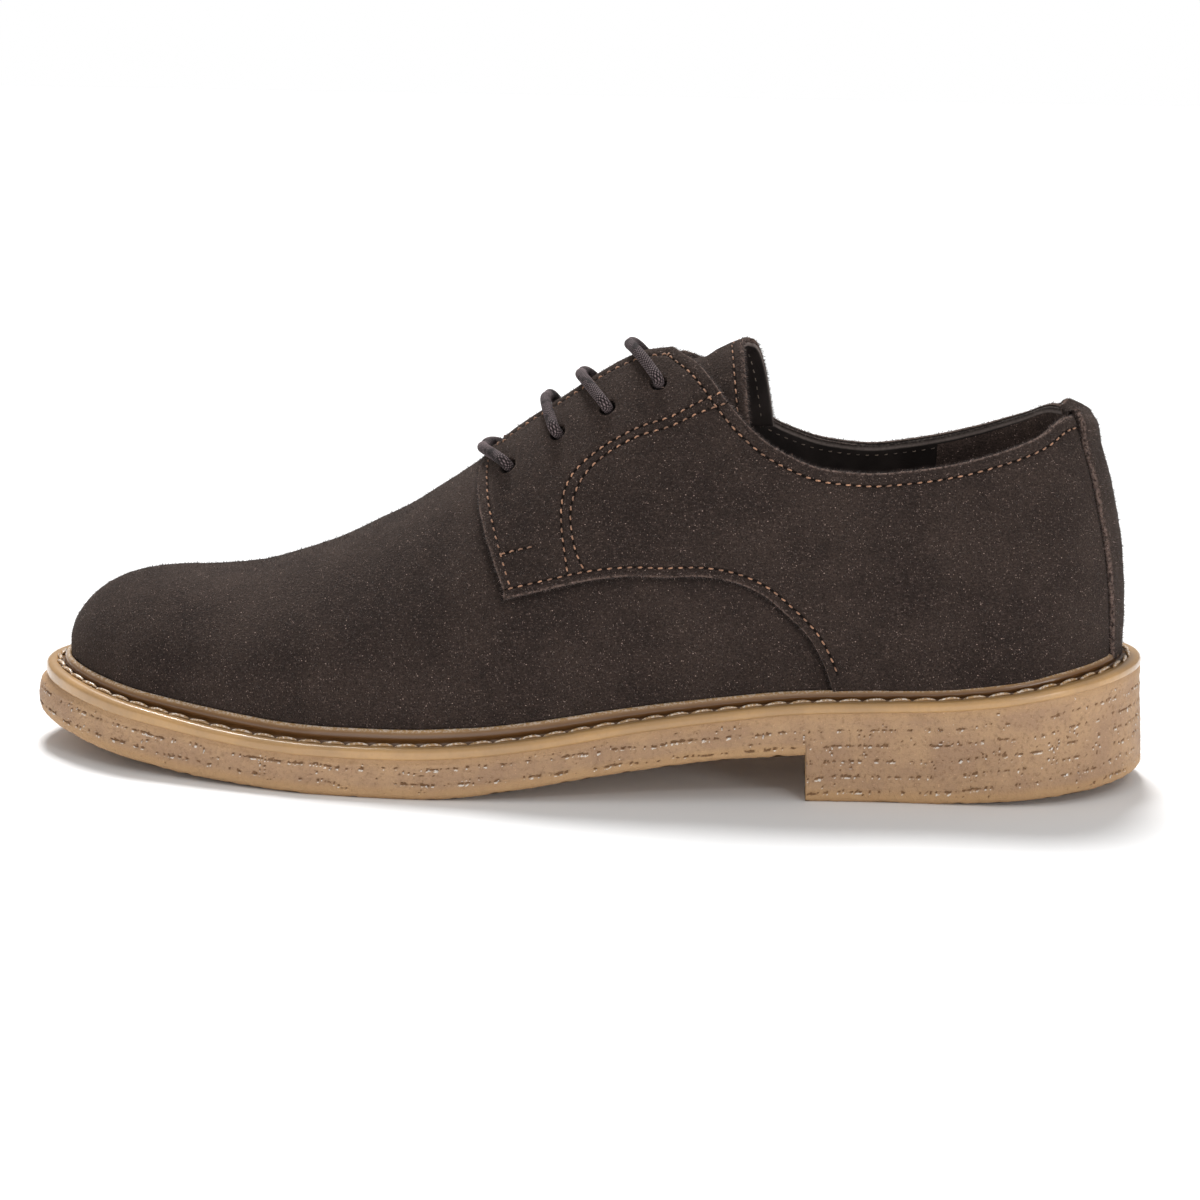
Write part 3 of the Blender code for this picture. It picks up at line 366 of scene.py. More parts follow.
def rim_rise(walk, side, closing=True):
    """How far up its sections the upper reaches, at the collar and the throat."""
    sections = Sections(walk, side)
    station = sections.station
    ceiling = COLLAR_HEIGHT + RIM[side](station) * (INSTEP_HEIGHT - COLLAR_HEIGHT)
    gap = throat_half_gap(station, closing)
    low, high = np.zeros_like(station), np.ones_like(station)
    for _ in range(26):
        middle = (low + high) / 2
        points = sections.at(middle)
        inside = (station > COLLAR_FRONT) & (
            np.abs(points[..., 1] - sections.centre[..., 1]) < gap)
        over = (points[..., 2] > ceiling) | inside
        high = np.where(over, middle, high)
        low = np.where(over, low, middle)
    return np.where(closing & (station > THROAT_FRONT), 1.0, low)


def rand_rise(walk, side, height=RAND_HEIGHT):
    """How far up its sections a height above the feather edge lies."""
    sections = Sections(walk, side)
    climb = np.clip(height / (sections.high - sections.low), 0.0, 1.0)
    return np.arcsin(climb ** (sections.square / 2)) * 2 / math.pi


def outline_points(walk, side, outward, height):
    """Points level with the floor, out from the feather edge."""
    walk = np.asarray(walk, float)
    foot = Sections(walk, side).foot
    along = (Sections(np.minimum(walk + 0.02, 3.0), side).foot
             - Sections(np.maximum(walk - 0.02, 0.0), side).foot)
    along = unit(along)
    normal = np.stack([-along[..., 1], along[..., 0]], -1) * (-side)
    ends = (walk < 1e-6)[..., None] * np.array([1.0, 0.0])
    ends = ends + (walk > 3 - 1e-6)[..., None] * np.array([-1.0, 0.0])
    at_end = (walk < 1e-6) | (walk > 3 - 1e-6)
    normal = np.where(at_end[..., None], ends, normal)
    plan = foot + normal * np.asarray(outward, float)[..., None]
    height = np.broadcast_to(np.asarray(height, float), plan.shape[:-1])
    return np.concatenate([plan, height[..., None]], -1)


def eyelet_places(side):
    """Station and rise of each eyelet's middle on one facing, from the toe back."""
    stations = np.linspace(EYELET_FIRST, EYELET_LAST, EYELETS)
    walks = walk_at(stations)
    rim = rim_rise(walks, side)
    edge = last_points(walks, rim, side)
    low, high = np.zeros(EYELETS), rim.copy()
    for _ in range(26):
        middle = (low + high) / 2
        far = np.linalg.norm(last_points(walks, middle, side) - edge, axis=-1) > EYELET_INSETS
        low, high = np.where(far, middle, low), np.where(far, high, middle)
    return stations, low


# Meshes


def rough(points, size, seed=0.0):
    """Smooth random values from -1 to 1 with features about a size, in millimetres."""
    flat = points.reshape(-1, 3) / (size * MM)
    values = [noise.noise((x + seed, y - seed, z + 2 * seed)) for x, y, z in flat]
    return np.array(values).reshape(points.shape[:-1])


def grid_indices(rows, columns, closed=False):
    index = np.arange(rows * columns).reshape(rows, columns)
    if closed:
        index = np.concatenate([index, index[:, :1]], 1)
    return np.stack([index[:-1, :-1], index[:-1, 1:], index[1:, 1:], index[1:, :-1]],
                    -1).reshape(-1, 4)


def make_piece(name, points, faces, marks=None, material=None, weld=0.0):
    """A smooth mesh object that rides on the shoe, with a value per vertex for each mark."""
    mesh = bpy.data.meshes.new(name)
    mesh.from_pydata(points.reshape(-1, 3).tolist(), [], np.asarray(faces).tolist())
    for mark, values in (marks or {}).items():
        layer = mesh.attributes.new(mark, "FLOAT", "POINT")
        layer.data.foreach_set("value", np.asarray(values, np.float32).ravel())
    if weld:
        bm = bmesh.new()
        bm.from_mesh(mesh)
        bmesh.ops.remove_doubles(bm, verts=bm.verts, dist=weld)
        bmesh.ops.dissolve_degenerate(bm, edges=bm.edges, dist=weld / 10)
        bm.to_mesh(mesh)
        bm.free()
    mesh.shade_smooth()
    obj = bpy.data.objects.new(name, mesh)
    bpy.context.scene.collection.objects.link(obj)
    if material:
        mesh.materials.append(material)
    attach(obj, "root")
    return obj


def join_grids(grids):
    """Points, faces and marks of several grids as one mesh, each facing its own way out."""
    points, faces, marks, offset = [], [], {}, 0
    for grid in grids:
        place = grid["points"]
        rows, columns = place.shape[:2]
        quads = grid_indices(rows, columns, grid.get("closed", False))
        flat = place.reshape(-1, 3)
        a, b, c = flat[quads[:, 0]], flat[quads[:, 1]], flat[quads[:, 3]]
        turn = np.cross(b - a, c - a)
        outward = grid["normals"].reshape(-1, 3)[quads[:, 0]]
        if (turn * outward).sum() < 0:
            quads = quads[:, ::-1]
        points.append(flat)
        faces.append(quads + offset)
        for mark, values in grid.get("marks", {}).items():
            marks.setdefault(mark, []).append(np.asarray(values, float).ravel())
        offset += len(flat)
    return (np.concatenate(points), np.concatenate(faces),
            {mark: np.concatenate(values) for mark, values in marks.items()})


def grid_piece(name, grids, material, weld=0.0):
    """A piece made of several grids."""
    return make_piece(name, *join_grids(grids), material, weld)


def search_tree(places):
    tree = kdtree.KDTree(len(places))
    for i, place in enumerate(places):
        tree.insert(place, i)
    tree.balance()
    return tree


def nearest(points, traces):
    """Distance in millimetres from each point to the nearest trace point."""
    tree = search_tree(traces)
    flat = points.reshape(-1, 3)
    found = [tree.find(place)[2] for place in flat.tolist()]
    return np.array(found).reshape(points.shape[:-1]) / MM


def run_along(points, weight=1.0):
    """How far along a path each of its points lies."""
    steps = np.linalg.norm(np.diff(points, axis=0), axis=1) * weight
    return np.concatenate([[0.0], np.cumsum(steps)])


def resample(points, pitch):
    """Evenly spaced points along a path, about a pitch in metres apart."""
    length = run_along(points)
    count = max(int(round(length[-1] / pitch)), 1)
    wanted = np.linspace(0.0, length[-1], count + 1)
    return np.stack([np.interp(wanted, length, points[:, k]) for k in range(3)], -1)


def smooth_path(points, between):
    """A Catmull-Rom curve through points, with a number of points on each span."""
    points = np.asarray(points, float)
    padded = np.concatenate([2 * points[:1] - points[1:2], points,
                             2 * points[-1:] - points[-2:-1]])
    made = []
    for i in range(len(points) - 1):
        a, b, c, d = padded[i:i + 4]
        for t in np.arange(between) / between:
            made.append(0.5 * (2 * b + (c - a) * t + (2 * a - 5 * b + 4 * c - d) * t ** 2
                               + (3 * b - a - 3 * c + d) * t ** 3))
    made.append(points[-1])
    return np.array(made)


# Places of the seams, creases and edges on the upper

EDGE_INSETS = np.array([1.30, 0.65, 0.28, 0.08, 0.00, 0.00])
EDGE_DROPS = np.array([0.00, 0.04, 0.16, 0.42, 0.95, 1.90])


def hand_row(table, between=12):
    """A listed row as walks and rises along a smooth path."""
    path = smooth_path([(walk_at(station), rise) for station, rise in table], between)
    return path[:, 0], path[:, 1]


def offset_row(walk, rise, side, distance, up):
    """A row beside another, a distance in metres up or down the panel."""
    step = 0.002
    base = last_points(walk, rise, side)
    by_walk = (last_points(walk + step, rise, side) - base) / step
    by_rise = (last_points(walk, rise - step, side) - base) / -step
    tangent = unit(np.gradient(base, axis=0))
    across = np.cross(last_normals(walk, rise, side), tangent)
    way = unit(by_rise) * up - unit(by_walk) * (0.9 if up > 0 else 0.0)
    across = across * np.sign((across * way).sum(-1, keepdims=True))
    across = across * distance
    aa, bb = (by_walk ** 2).sum(-1), (by_rise ** 2).sum(-1)
    ab = (by_walk * by_rise).sum(-1)
    ca, cb = (by_walk * across).sum(-1), (by_rise * across).sum(-1)
    det = np.maximum(aa * bb - ab * ab, 1e-12)
    return walk + (ca * bb - cb * ab) / det, rise + (cb * aa - ca * ab) / det


def quarter_front(share):
    """Walk and rise along the facing's front edge, from its lower corner up."""
    share = np.asarray(share, float)
    walk = walk_at(FACING_LEAN(share))
    top = rim_rise(walk_at(FACING_LEAN(1.0)) + np.zeros(1), -1, closing=False)[0]
    low = QUARTER_EDGE[-1][1]
    return walk, low + (top - low) * share


def seam_rows(side, inset):
    """Every stitched row of one quarter, as walks and rises."""
    facing = np.linspace(walk_at(FACING_LEAN(1.0)), 0.02, 420)
    rim = rim_rise(facing, side, closing=False)
    top = offset_row(facing, rim, side, inset * 1.25, -1)
    share = np.linspace(1.0, 0.0, 80)
    front_walk, front_rise = quarter_front(share)
    front = (front_walk - inset * 1.02 / (LENGTH * (TOE_CENTRE - HEEL_CENTRE)), front_rise)
    station = np.linspace(QUARTER_EDGE[-1][0] - 0.004, QUARTER_EDGE[1][0] + 0.003, 220)
    low = offset_row(walk_at(station), QUARTER_LOW(station), side, inset, 1)
    front_keep = front[1] > low[1][0]
    top_keep = top[0] < front[0][0] + 0.001
    return {
        "top": (top[0][top_keep], top[1][top_keep]),
        "front": (front[0][front_keep], front[1][front_keep]),
        "low": low,
        "outer_arc": hand_row(OUTER_ARC),
        "inner_arc": hand_row(INNER_ARC),
        "bar": hand_row(BAR_ROW),
    }


def crease_shift(points, side, sizes):
    """How far the listed creases push the leather, in millimetres."""
    shift = np.zeros(points.shape[:-1])
    for s0, r0, s1, r1, width, depth, only in CREASES:
        if only not in (0, side):
            continue
        t = np.linspace(0.0, 1.0, 40)
        bend = 0.012 * np.sin(math.pi * t)
        path = last_points(walk_at(s0 + (s1 - s0) * t + bend), r0 + (r1 - r0) * t, side)
        far = nearest(points, path.tolist())
        ends = 0.65 + 0.35 * rough(points, 18.0, s0 * 50)
        shift -= depth * ends * np.exp(-(far / width) ** 2) * sizes.crease_depth
    return shift


# Finishes


class Value:
    """A socket of a finish, on which Python's operators add Math nodes."""

    def __init__(self, finish, socket):
        self.finish = finish
        self.socket = socket

    def maths(self, operation, first, second):
        return self.finish.add("ShaderNodeMath", {"operation": operation},
                               {0: first, 1: second})

    def __add__(self, other):
        return self.maths("ADD", self, other)

    def __radd__(self, other):
        return self.maths("ADD", other, self)

    def __sub__(self, other):
        return self.maths("SUBTRACT", self, other)

    def __rsub__(self, other):
        return self.maths("SUBTRACT", other, self)

    def __mul__(self, other):
        return self.maths("MULTIPLY", self, other)

    def __rmul__(self, other):
        return self.maths("MULTIPLY", other, self)


class Nodes:
    """The nodes of a material or a world."""

    def __init__(self, tree):
        self.tree = tree

    def add(self, kind, settings=None, sockets=None, output=0):
        """A node of a kind, its settings made first, with values or links on its sockets."""
        node = self.tree.nodes.new(kind)
        for key, value in (settings or {}).items():
            if key == "stops":
                ramp = node.color_ramp
                while len(ramp.elements) < len(value):
                    ramp.elements.new(0.5)
                for element, (place, colour) in zip(ramp.elements, value):
                    element.position, element.color = place, (*colour, 1.0)
            else:
                setattr(node, key, value)
        for key, value in (sockets or {}).items():
            self.feed(node.inputs[key], value)
        return Value(self, node.outputs[output])

    def feed(self, socket, value):
        if isinstance(value, Value):
            self.tree.links.new(value.socket, socket)
        elif hasattr(socket.default_value, "__len__") and len(value) == 3:
            size = len(socket.default_value)
            socket.default_value = (*value, 1.0)[:size]
        else:
            socket.default_value = value


class Finish(Nodes):
    """A material and its nodes. Lengths in it are in millimetres."""

    def __init__(self, name, fixed):
        self.material = bpy.data.materials.new(name)
        self.material.use_nodes = True
        super().__init__(self.material.node_tree)
        self.shader = self.tree.nodes["Principled BSDF"]
        for socket, value in fixed.items():
            self.shader.inputs[socket].default_value = value

    def place(self, stretch=(1.0, 1.0, 1.0)):
        """The place on the shoe in millimetres, stretched along its axes."""
        place = self.add("ShaderNodeTexCoord", output="Object")
        return self.add("ShaderNodeVectorMath", {"operation": "MULTIPLY"},
                        {0: place, 1: tuple(k / MM for k in stretch)})

    def noise(self, size, detail=2.0, place=None, rough_share=0.5):
        """Noise from 0 to 1 with features about a size, in millimetres."""
        return self.add("ShaderNodeTexNoise", {}, {
            "Vector": place or self.place(), "Scale": 1.0 / size, "Detail": detail,
            "Roughness": rough_share})

    def band(self, value, low, high):
        """0 below low and 1 above high, with a soft step between."""
        return self.add("ShaderNodeMapRange", {"interpolation_type": "SMOOTHSTEP"},
                        {"Value": value, "From Min": low, "From Max": high})

    def mixed(self, factor, first, second):
        return self.add("ShaderNodeMix", {"data_type": "RGBA"},
                        {0: factor, 6: first, 7: second}, output=2)

    def mark(self, name):
        return self.add("ShaderNodeAttribute", {"attribute_name": name}, output="Fac")

    def show(self, colour=None, roughness=None, height=None, depth=0.1, strength=1.0,
             coat=None):
        """Feeds the shader; depth is the height's size in millimetres."""
        inputs = self.shader.inputs
        for socket, value in (("Base Color", colour), ("Roughness", roughness),
                              ("Coat Weight", coat)):
            if value is not None:
                self.feed(inputs[socket], value)
        if height is not None:
            bump = self.add("ShaderNodeBump", {}, {
                "Height": height, "Distance": depth * MM, "Strength": strength})
            self.feed(inputs["Normal"], bump)
        return self.material


def shade(colour, share, *cast):
    """A colour made darker or lighter, with factors for red, green and blue."""
    return tuple(min(c * share, 1.0) * k for c, k in zip(colour, cast or (1.0, 1.0, 1.0)))


def suede_finish(name, colour):
    """Napped leather: clouds, brushed patches, pale fibre ends, painted shade in seams and under
    edges.
    """
    finish = Finish(name, {
        "Sheen Weight": 0.10, "Sheen Roughness": 0.45, "Sheen Tint": (0.62, 0.50, 0.42, 1.0),
        "Specular IOR Level": 0.08})
    clouds = finish.noise(20.0, 3.0)
    patches = finish.noise(4.5, 3.0, rough_share=0.6)
    streaks = finish.noise(0.62, 3.0, finish.place((0.6, 1.0, 1.15)), 0.7)
    grain = finish.noise(0.42, 2.0, rough_share=0.7)
    tint = finish.mixed(finish.band(clouds, 0.34, 0.66), shade(colour, 0.80),
                        shade(colour, 1.22, 1.0, 1.0, 0.97))
    tint = finish.mixed(finish.band(patches, 0.40, 0.72) * 0.28, tint,
                        shade(colour, 1.60, 1.02, 0.98, 0.90))
    tint = finish.mixed(finish.band(streaks, 0.48, 0.76) * 0.66, tint, shade(colour, 3.0))
    tint = finish.mixed(finish.band(grain, 0.44, 0.66) * 0.66, tint, shade(colour, 0.28))
    for scale, wide, threshold, share, light in (
            (0.66, 0.110, 0.46, 0.85, 15.0), (1.30, 0.19, 0.32, 0.75, 8.0)):
        turned = finish.place((0.75, 1.0, 1.1)) if scale < 1 else finish.place((1.1, 1.0, 0.7))
        fleck = finish.add("ShaderNodeTexVoronoi", {"feature": "F1"},
                           {"Vector": turned, "Scale": scale}, output="Distance")
        near = 1.0 - finish.band(fleck, wide * 0.4, wide)
        few = finish.band(finish.noise(2.6, 1.0), threshold, threshold + 0.12)
        tint = finish.mixed(near * few * share, tint,
                            shade(colour, light, 1.0, 1.02, 1.0))
    seam, edge, under = finish.mark("seam"), finish.mark("edge"), finish.mark("under")
    # Painted shade in the pressed-in seam grooves and the eyelet bores
    tint = finish.mixed(finish.band(seam, 0.45, 0.95) * 0.85, tint, shade(colour, 0.12))
    # Painted shade beside and under the edges of overlapping panels
    tint = finish.mixed(under * 0.75, tint, shade(colour, 0.30))
    fibre = finish.noise(0.8, 2.0)
    tint = finish.mixed(edge * finish.band(fibre, 0.34, 0.62) * 0.75, tint,
                        shade(colour, 6.6, 1.0, 0.97, 0.93))
    height = streaks * 0.65 + grain * 0.7 + patches * 0.5
    return finish.show(tint, 0.96 - 0.08 * streaks, height, 0.46, 1.0)


def lining_finish(name, colour):
    """Smooth lining leather with fine pores, and a pale cut edge."""
    finish = Finish(name, {"Specular IOR Level": 0.30, "Coat Roughness": 0.35})
    pores = finish.add("ShaderNodeTexVoronoi", {"feature": "F1"},
                       {"Vector": finish.place(), "Scale": 1.5}, output="Distance")
    patches = finish.noise(9.0, 3.0)
    tint = finish.mixed(finish.band(patches, 0.35, 0.7), shade(colour, 0.8),
                        shade(colour, 1.45))
    edge = finish.mark("edge")
    raw = finish.mixed(finish.noise(0.7, 2.0), (0.10, 0.078, 0.066), (0.26, 0.21, 0.19))
    turned = finish.mark("turned")
    tint = finish.mixed(turned, tint, finish.mixed(
        finish.band(finish.noise(0.5, 2.0), 0.4, 0.7), (0.020, 0.014, 0.012),
        (0.085, 0.066, 0.056)))
    tint = finish.mixed(edge, tint, raw)
    roughness = 0.42 + 0.16 * patches + edge * 0.35 + turned * 0.4
    height = finish.band(pores, 0.0, 0.35) + finish.noise(3.0, 3.0) * 1.2
    return finish.show(tint, roughness, height, 0.10, 0.6)


def thread_finish(name, colour):
    """Twisted sewing thread, lighter and darker in random blotches, with a darker twist pattern.
    """
    finish = Finish(name, {"Sheen Weight": 0.2, "Specular IOR Level": 0.4})
    blotches = finish.noise(2.6, 2.0)
    twist = finish.noise(0.30, 1.0, finish.place((1.0, 1.0, 1.8)))
    tint = finish.mixed(finish.band(blotches, 0.35, 0.7), shade(colour, 0.62),
                        shade(colour, 1.5, 1.0, 0.97, 0.92))
    tint = finish.mixed(finish.band(twist, 0.45, 0.62) * 0.5, tint, shade(colour, 0.4))
    return finish.show(tint, 0.6, twist, 0.15, 0.8)


def dark_finish(name):
    """The shadowed leather inside needle holes."""
    finish = Finish(name, {"Specular IOR Level": 0.05})
    tint = finish.mixed(finish.noise(0.8), (0.004, 0.003, 0.002), (0.012, 0.008, 0.006))
    return finish.show(tint, 0.95)


def lace_finish(name, colour):
    """Waxed braid: lit strands over dark gaps."""
    finish = Finish(name, {"Sheen Weight": 0.05, "Specular IOR Level": 0.16})
    strand = finish.mark("strand")
    fibre = finish.noise(0.22, 2.0, finish.place((1.0, 1.0, 0.5)))
    blotches = finish.noise(3.0, 2.0)
    tint = finish.mixed(finish.band(strand, 0.25, 0.90), shade(colour, 0.25),
                        shade(colour, 1.6))
    # Near-white flecks on the highest strand crowns, in blotches of noise
    tint = finish.mixed(finish.band(strand, 0.70, 0.93) * finish.band(blotches, 0.34, 0.50) * 0.9,
                        tint, shade(colour, 13.0, 1.0, 1.0, 1.05))
    return finish.show(tint, 0.72 + 0.2 * fibre, fibre, 0.06, 0.7)


def gum_finish(name, colour, gloss):
    """Honey-coloured moulded rubber with a soft skin, darkened and reddened with painted shade
    where recessed.
    """
    finish = Finish(name, {
        "Specular IOR Level": 0.5, "Coat Roughness": 0.16, "Coat IOR": 1.45,
        "Subsurface Weight": 0.0})
    clouds = finish.noise(14.0, 3.0)
    fine = finish.noise(1.2, 3.0)
    deep = finish.mark("deep")
    tint = finish.mixed(finish.band(clouds, 0.35, 0.65), shade(colour, 0.90),
                        shade(colour, 1.10, 1.0, 0.99, 0.93))
    tint = finish.mixed(finish.band(fine, 0.45, 0.75) * 0.25, tint, shade(colour, 0.72))
    # Painted shade: darker and redder down the lip, in the groove and under the moulded stitches
    tint = finish.mixed(deep * 0.95, tint, shade(colour, 0.24, 1.15, 0.80, 0.48))
    glint = finish.mark("glint")
    tint = finish.mixed(glint * finish.band(finish.noise(0.6, 2.0), 0.44, 0.62) * 0.75, tint,
                        (0.88, 0.82, 0.74))
    height = fine * 0.4 + finish.noise(5.0, 2.0)
    return finish.show(tint, gloss + 0.10 * fine, height, 0.10, 0.5, coat=0.35 + 0.3 * clouds)


def crepe_finish(name, colour):
    """Crepe rubber: a matt crumbed side, its cracks darkened with painted shade, with wet-looking
    painted glints.
    """
    finish = Finish(name, {"Specular IOR Level": 0.35, "Coat Roughness": 0.12})
    clouds = finish.noise(11.0, 4.0, rough_share=0.6)
    crumbs = finish.noise(1.0, 4.0, rough_share=0.65)
    speck_noise = finish.noise(0.5, 3.0, rough_share=0.6)
    crack, bead, edge = finish.mark("crack"), finish.mark("bead"), finish.mark("edge")
    tint = finish.mixed(finish.band(clouds, 0.32, 0.68), shade(colour, 0.90, 1.0, 0.97, 0.98),
                        shade(colour, 1.12, 1.0, 0.99, 0.93))
    tint = finish.mixed(finish.band(crumbs, 0.50, 0.70) * 0.66, tint,
                        shade(colour, 0.52, 1.05, 0.92, 0.80))
    # Lighter, glossier specks: painted glints
    tint = finish.mixed(finish.band(speck_noise, 0.60, 0.72) * 0.55, tint, shade(colour, 1.75))
    tint = finish.mixed(edge * 0.70, tint, shade(colour, 1.18, 1.03, 0.97, 0.76))
    # Painted shade in the cracks and pits
    dark = finish.band(crack + (speck_noise - 0.5) * 1.1, 0.24, 0.66)
    tint = finish.mixed(dark * 0.82, tint, shade(colour, 0.34, 1.15, 0.84, 0.52))
    glint = finish.band(bead + (speck_noise - 0.5) * 1.9, 0.45, 0.80)
    tint = finish.mixed(glint * 0.72, tint, (0.90, 0.86, 0.80))
    roughness = 0.66 - 0.42 * glint - 0.10 * finish.band(speck_noise, 0.55, 0.75)
    height = crumbs * 0.9 + speck_noise * 0.6 - dark * 0.6
    return finish.show(tint, roughness, height, 0.35, 0.9, coat=0.08 + 0.85 * glint)


def nap_finish(name, colour):
    """Loose suede fibres, a few of them pale."""
    finish = Finish(name, {"Sheen Weight": 0.3, "Specular IOR Level": 0.1})
    pale = finish.mark("pale")
    tint = finish.mixed(finish.band(pale, 0.2, 0.90), shade(colour, 0.8), shade(colour, 2.4))
    tint = finish.mixed(finish.band(pale, 0.95, 0.98), tint, shade(colour, 11.0, 1, 1, 1))
    return finish.show(tint, 0.95)


# User settings


def length_setting(name, description, default, least, most):
    """A length that the user can set, given in millimetres."""
    return bpy.props.FloatProperty(name=name, description=description, unit="LENGTH",
                                   default=default * MM, min=least * MM, max=most * MM)


def colour_setting(name, description, default):
    return bpy.props.FloatVectorProperty(name=name, description=description, subtype="COLOR",
                                         default=default, min=0, max=1)


class ShoeSizes(bpy.types.PropertyGroup):
    """Sizes of the seams, threads and surface of the shoe."""

    stitch_pitch: length_setting(
        "Stitch pitch", "From one stitch of the upper to the next", 2.6, 1, 8)
    stitch_length: length_setting(
        "Stitch length", "Length of the thread that shows in one stitch", 1.42, 1, 7)
    thread: length_setting("Thread", "Diameter of the upper's sewing thread", 0.43, 0.2, 2)
    seam_inset: length_setting(
        "Seam inset", "From a panel's edge to its row of stitches", 2.4, 1, 6)
    seam_depth: length_setting(
        "Seam depth", "How far a row of stitches is pulled into the leather", 0.34, 0, 1)
    crease_depth: bpy.props.FloatProperty(
        name="Crease depth", description="Strength of the creases, as a factor",
        default=1.0, min=0.0, max=3.0, subtype="FACTOR")
    welt_pitch: length_setting(
        "Welt stitch pitch", "From one moulded stitch of the welt to the next", 6.4, 3, 12)
    crack_rows: length_setting(
        "Crack rows", "From one row of cracks in the crepe to the next", 4.05, 2, 10)
    crack_depth: length_setting("Crack depth", "Depth of the cracks in the crepe", 0.44, 0, 2)
    nap_length: length_setting("Nap length", "Length of the suede's loose fibres", 0.90, 0, 3)
    nap_count: bpy.props.IntProperty(
        name="Nap count", description="Number of loose fibres on the suede",
        default=120000, min=0, max=190000)


class ShoeColours(bpy.types.PropertyGroup):
    """Colours of the shoe's materials, in linear light."""

    suede: colour_setting("Suede", "Upper, tongue and backstay", (0.0375, 0.0265, 0.0230))
    lining: colour_setting("Lining", "Lining leather and insole", (0.0195, 0.0145, 0.0130))
    thread: colour_setting("Thread", "Thread of the upper's seams", (0.43, 0.228, 0.138))
    lining_thread: colour_setting(
        "Lining thread", "Thread where it shows on the lining", (0.20, 0.155, 0.125))
    lace: colour_setting("Lace", "Waxed round lace", (0.0175, 0.0130, 0.0128))
    gum: colour_setting("Gum", "Smooth strip of the sole", (0.440, 0.257, 0.108))
    crepe: colour_setting("Crepe", "Crepe side and tread", (0.420, 0.266, 0.157))


def settings():
    scene = bpy.context.scene
    return scene.shoe_sizes, scene.shoe_colours


def shared(make, name, colour):
    """A material that several pieces share, made by the first of them."""
    return bpy.data.materials.get(name) or make(name, colour)


# Pieces


def leather_grid(walk, rise, drop, side, proud, traces, outline, sizes):
    """One side of a leather panel, its seams pressed in, its edges lifted, with creases."""
    base, normals = surface(walk, rise, side)
    far = nearest(base, traces) if len(traces) else np.full(walk.shape, 99.0)
    # The seam groove's profile: it presses the leather in, and the finish darkens it with painted
    # shade
    seam = np.exp(-(far / 0.62) ** 2)
    puff = 0.12 * np.exp(-((far - 1.7) / 0.9) ** 2)
    shift = crease_shift(base, side, sizes) + 0.16 * rough(base, 14.0) + 0.06 * rough(base, 3.0)
    shift += puff - seam * sizes.seam_depth / MM
    border = nearest(base, outline)
    if proud:
        shift += 0.35 * np.exp(-(border / 1.5) ** 2) * (0.8 + 0.4 * rough(base, 9.0, 3.0))
        beside = nearest(base, strip_edge(side))
        # Painted shade on the quarter beside the backstay's edge
        under = np.exp(-(beside / 0.95) ** 2)
        shift -= 0.45 * np.exp(-(beside / 1.1) ** 2)
    else:
        shift -= 0.40 * np.exp(-(border / 1.6) ** 2)
        # Painted shade on the vamp beside and under the quarter's edge
        under = np.exp(-(border / 1.25) ** 2)
    ragged = 0.12 * rough(base, 0.9) * (drop > 0.1)
    stand = proud / MM - drop + shift + ragged
    points = base + normals * (stand * MM)[..., None]
    edge = np.clip((drop - 0.03) / 0.12, 0.0, 1.0) * np.clip((1.3 - drop) / 0.5, 0.0, 1.0)
    return {"points": points, "normals": normals,
            "marks": {"seam": seam, "edge": edge, "under": under}}


def mean_seam(grids, column):
    """Brings one column of two grids together on the middle of the shoe."""
    middle = (grids[0]["points"][:, column] + grids[1]["points"][:, column]) / 2
    for grid in grids:
        grid["points"][:, column] = middle


def close_ridge(grids, closed, rows):
    """Brings the last rows of two grids together where the throat is closed."""
    middle = (grids[0]["points"][-1, closed] + grids[1]["points"][-1, closed]) / 2
    for grid in grids:
        grid["points"][-rows:, closed] = middle[None]


def punch(obj, sides, depth):
    """Cuts the round eyelet holes through a panel, each with a short wall."""
    bm = bmesh.new()
    bm.from_mesh(obj.data)
    seam, edge = (bm.verts.layers.float[mark] for mark in ("seam", "edge"))
    radius = EYELET_BORE / 2
    for side in sides:
        stations, rises = eyelet_places(side)
        for middle, axis in zip(*surface(walk_at(stations), rises, side)):
            middle, axis = Vector(middle), Vector(axis)

            def away(place):
                across = place - middle
                along = across.dot(axis)
                return (across - axis * along).length, along, across - axis * along

            near = [f for f in bm.faces if (f.calc_center_median() - middle).length < radius * 2]
            inside = []
            for face in near:
                far, along, _ = away(face.calc_center_median())
                if far < radius and abs(along) < 4 * MM:
                    inside.append(face)
            bmesh.ops.delete(bm, geom=inside, context="FACES")
            rim = [e for e in bm.edges if e.is_boundary
                   and away(e.verts[0].co)[0] < radius * 1.9
                   and abs(away(e.verts[0].co)[1]) < 4 * MM
                   and away(e.verts[1].co)[0] < radius * 1.9]
            for vert in {v for e in rim for v in e.verts}:
                _, along, across = away(vert.co)
                vert.co = middle + axis * along + across.normalized() * radius
                # The seam mark paints shade into the eyelet's rim and bore
                vert[seam], vert[edge] = 0.6, 0.3
            for _ in range(2):
                made = bmesh.ops.extrude_edge_only(bm, edges=rim)["geom"]
                rim = [g for g in made if isinstance(g, bmesh.types.BMEdge)
                       and all(v in made for v in g.verts)]
                for vert in {v for e in rim for v in e.verts}:
                    vert.co -= axis * depth / 2
                    vert[seam], vert[edge] = 1.0, 0.0
    loose = [v for v in bm.verts if not v.link_faces]
    bmesh.ops.delete(bm, geom=loose, context="VERTS")
    bm.to_mesh(obj.data)
    bm.free()
    obj.data.shade_smooth()


def quarter_columns(step):
    """Walks from the facing's lower corner back to the heel, closer where its edge dips."""
    dense = np.linspace(walk_at(QUARTER_EDGE[-1][0]), 0.0, 3000)
    station = Sections(dense[:-1], -1).station
    weight = 1.0 + 1.6 * np.exp(-((station - 0.281) / 0.014) ** 2)
    total = run_along(last_points(dense, 0.35, -1), weight)
    count = int(total[-1] / step)
    return np.interp(np.linspace(0.0, total[-1], count), total, dense)


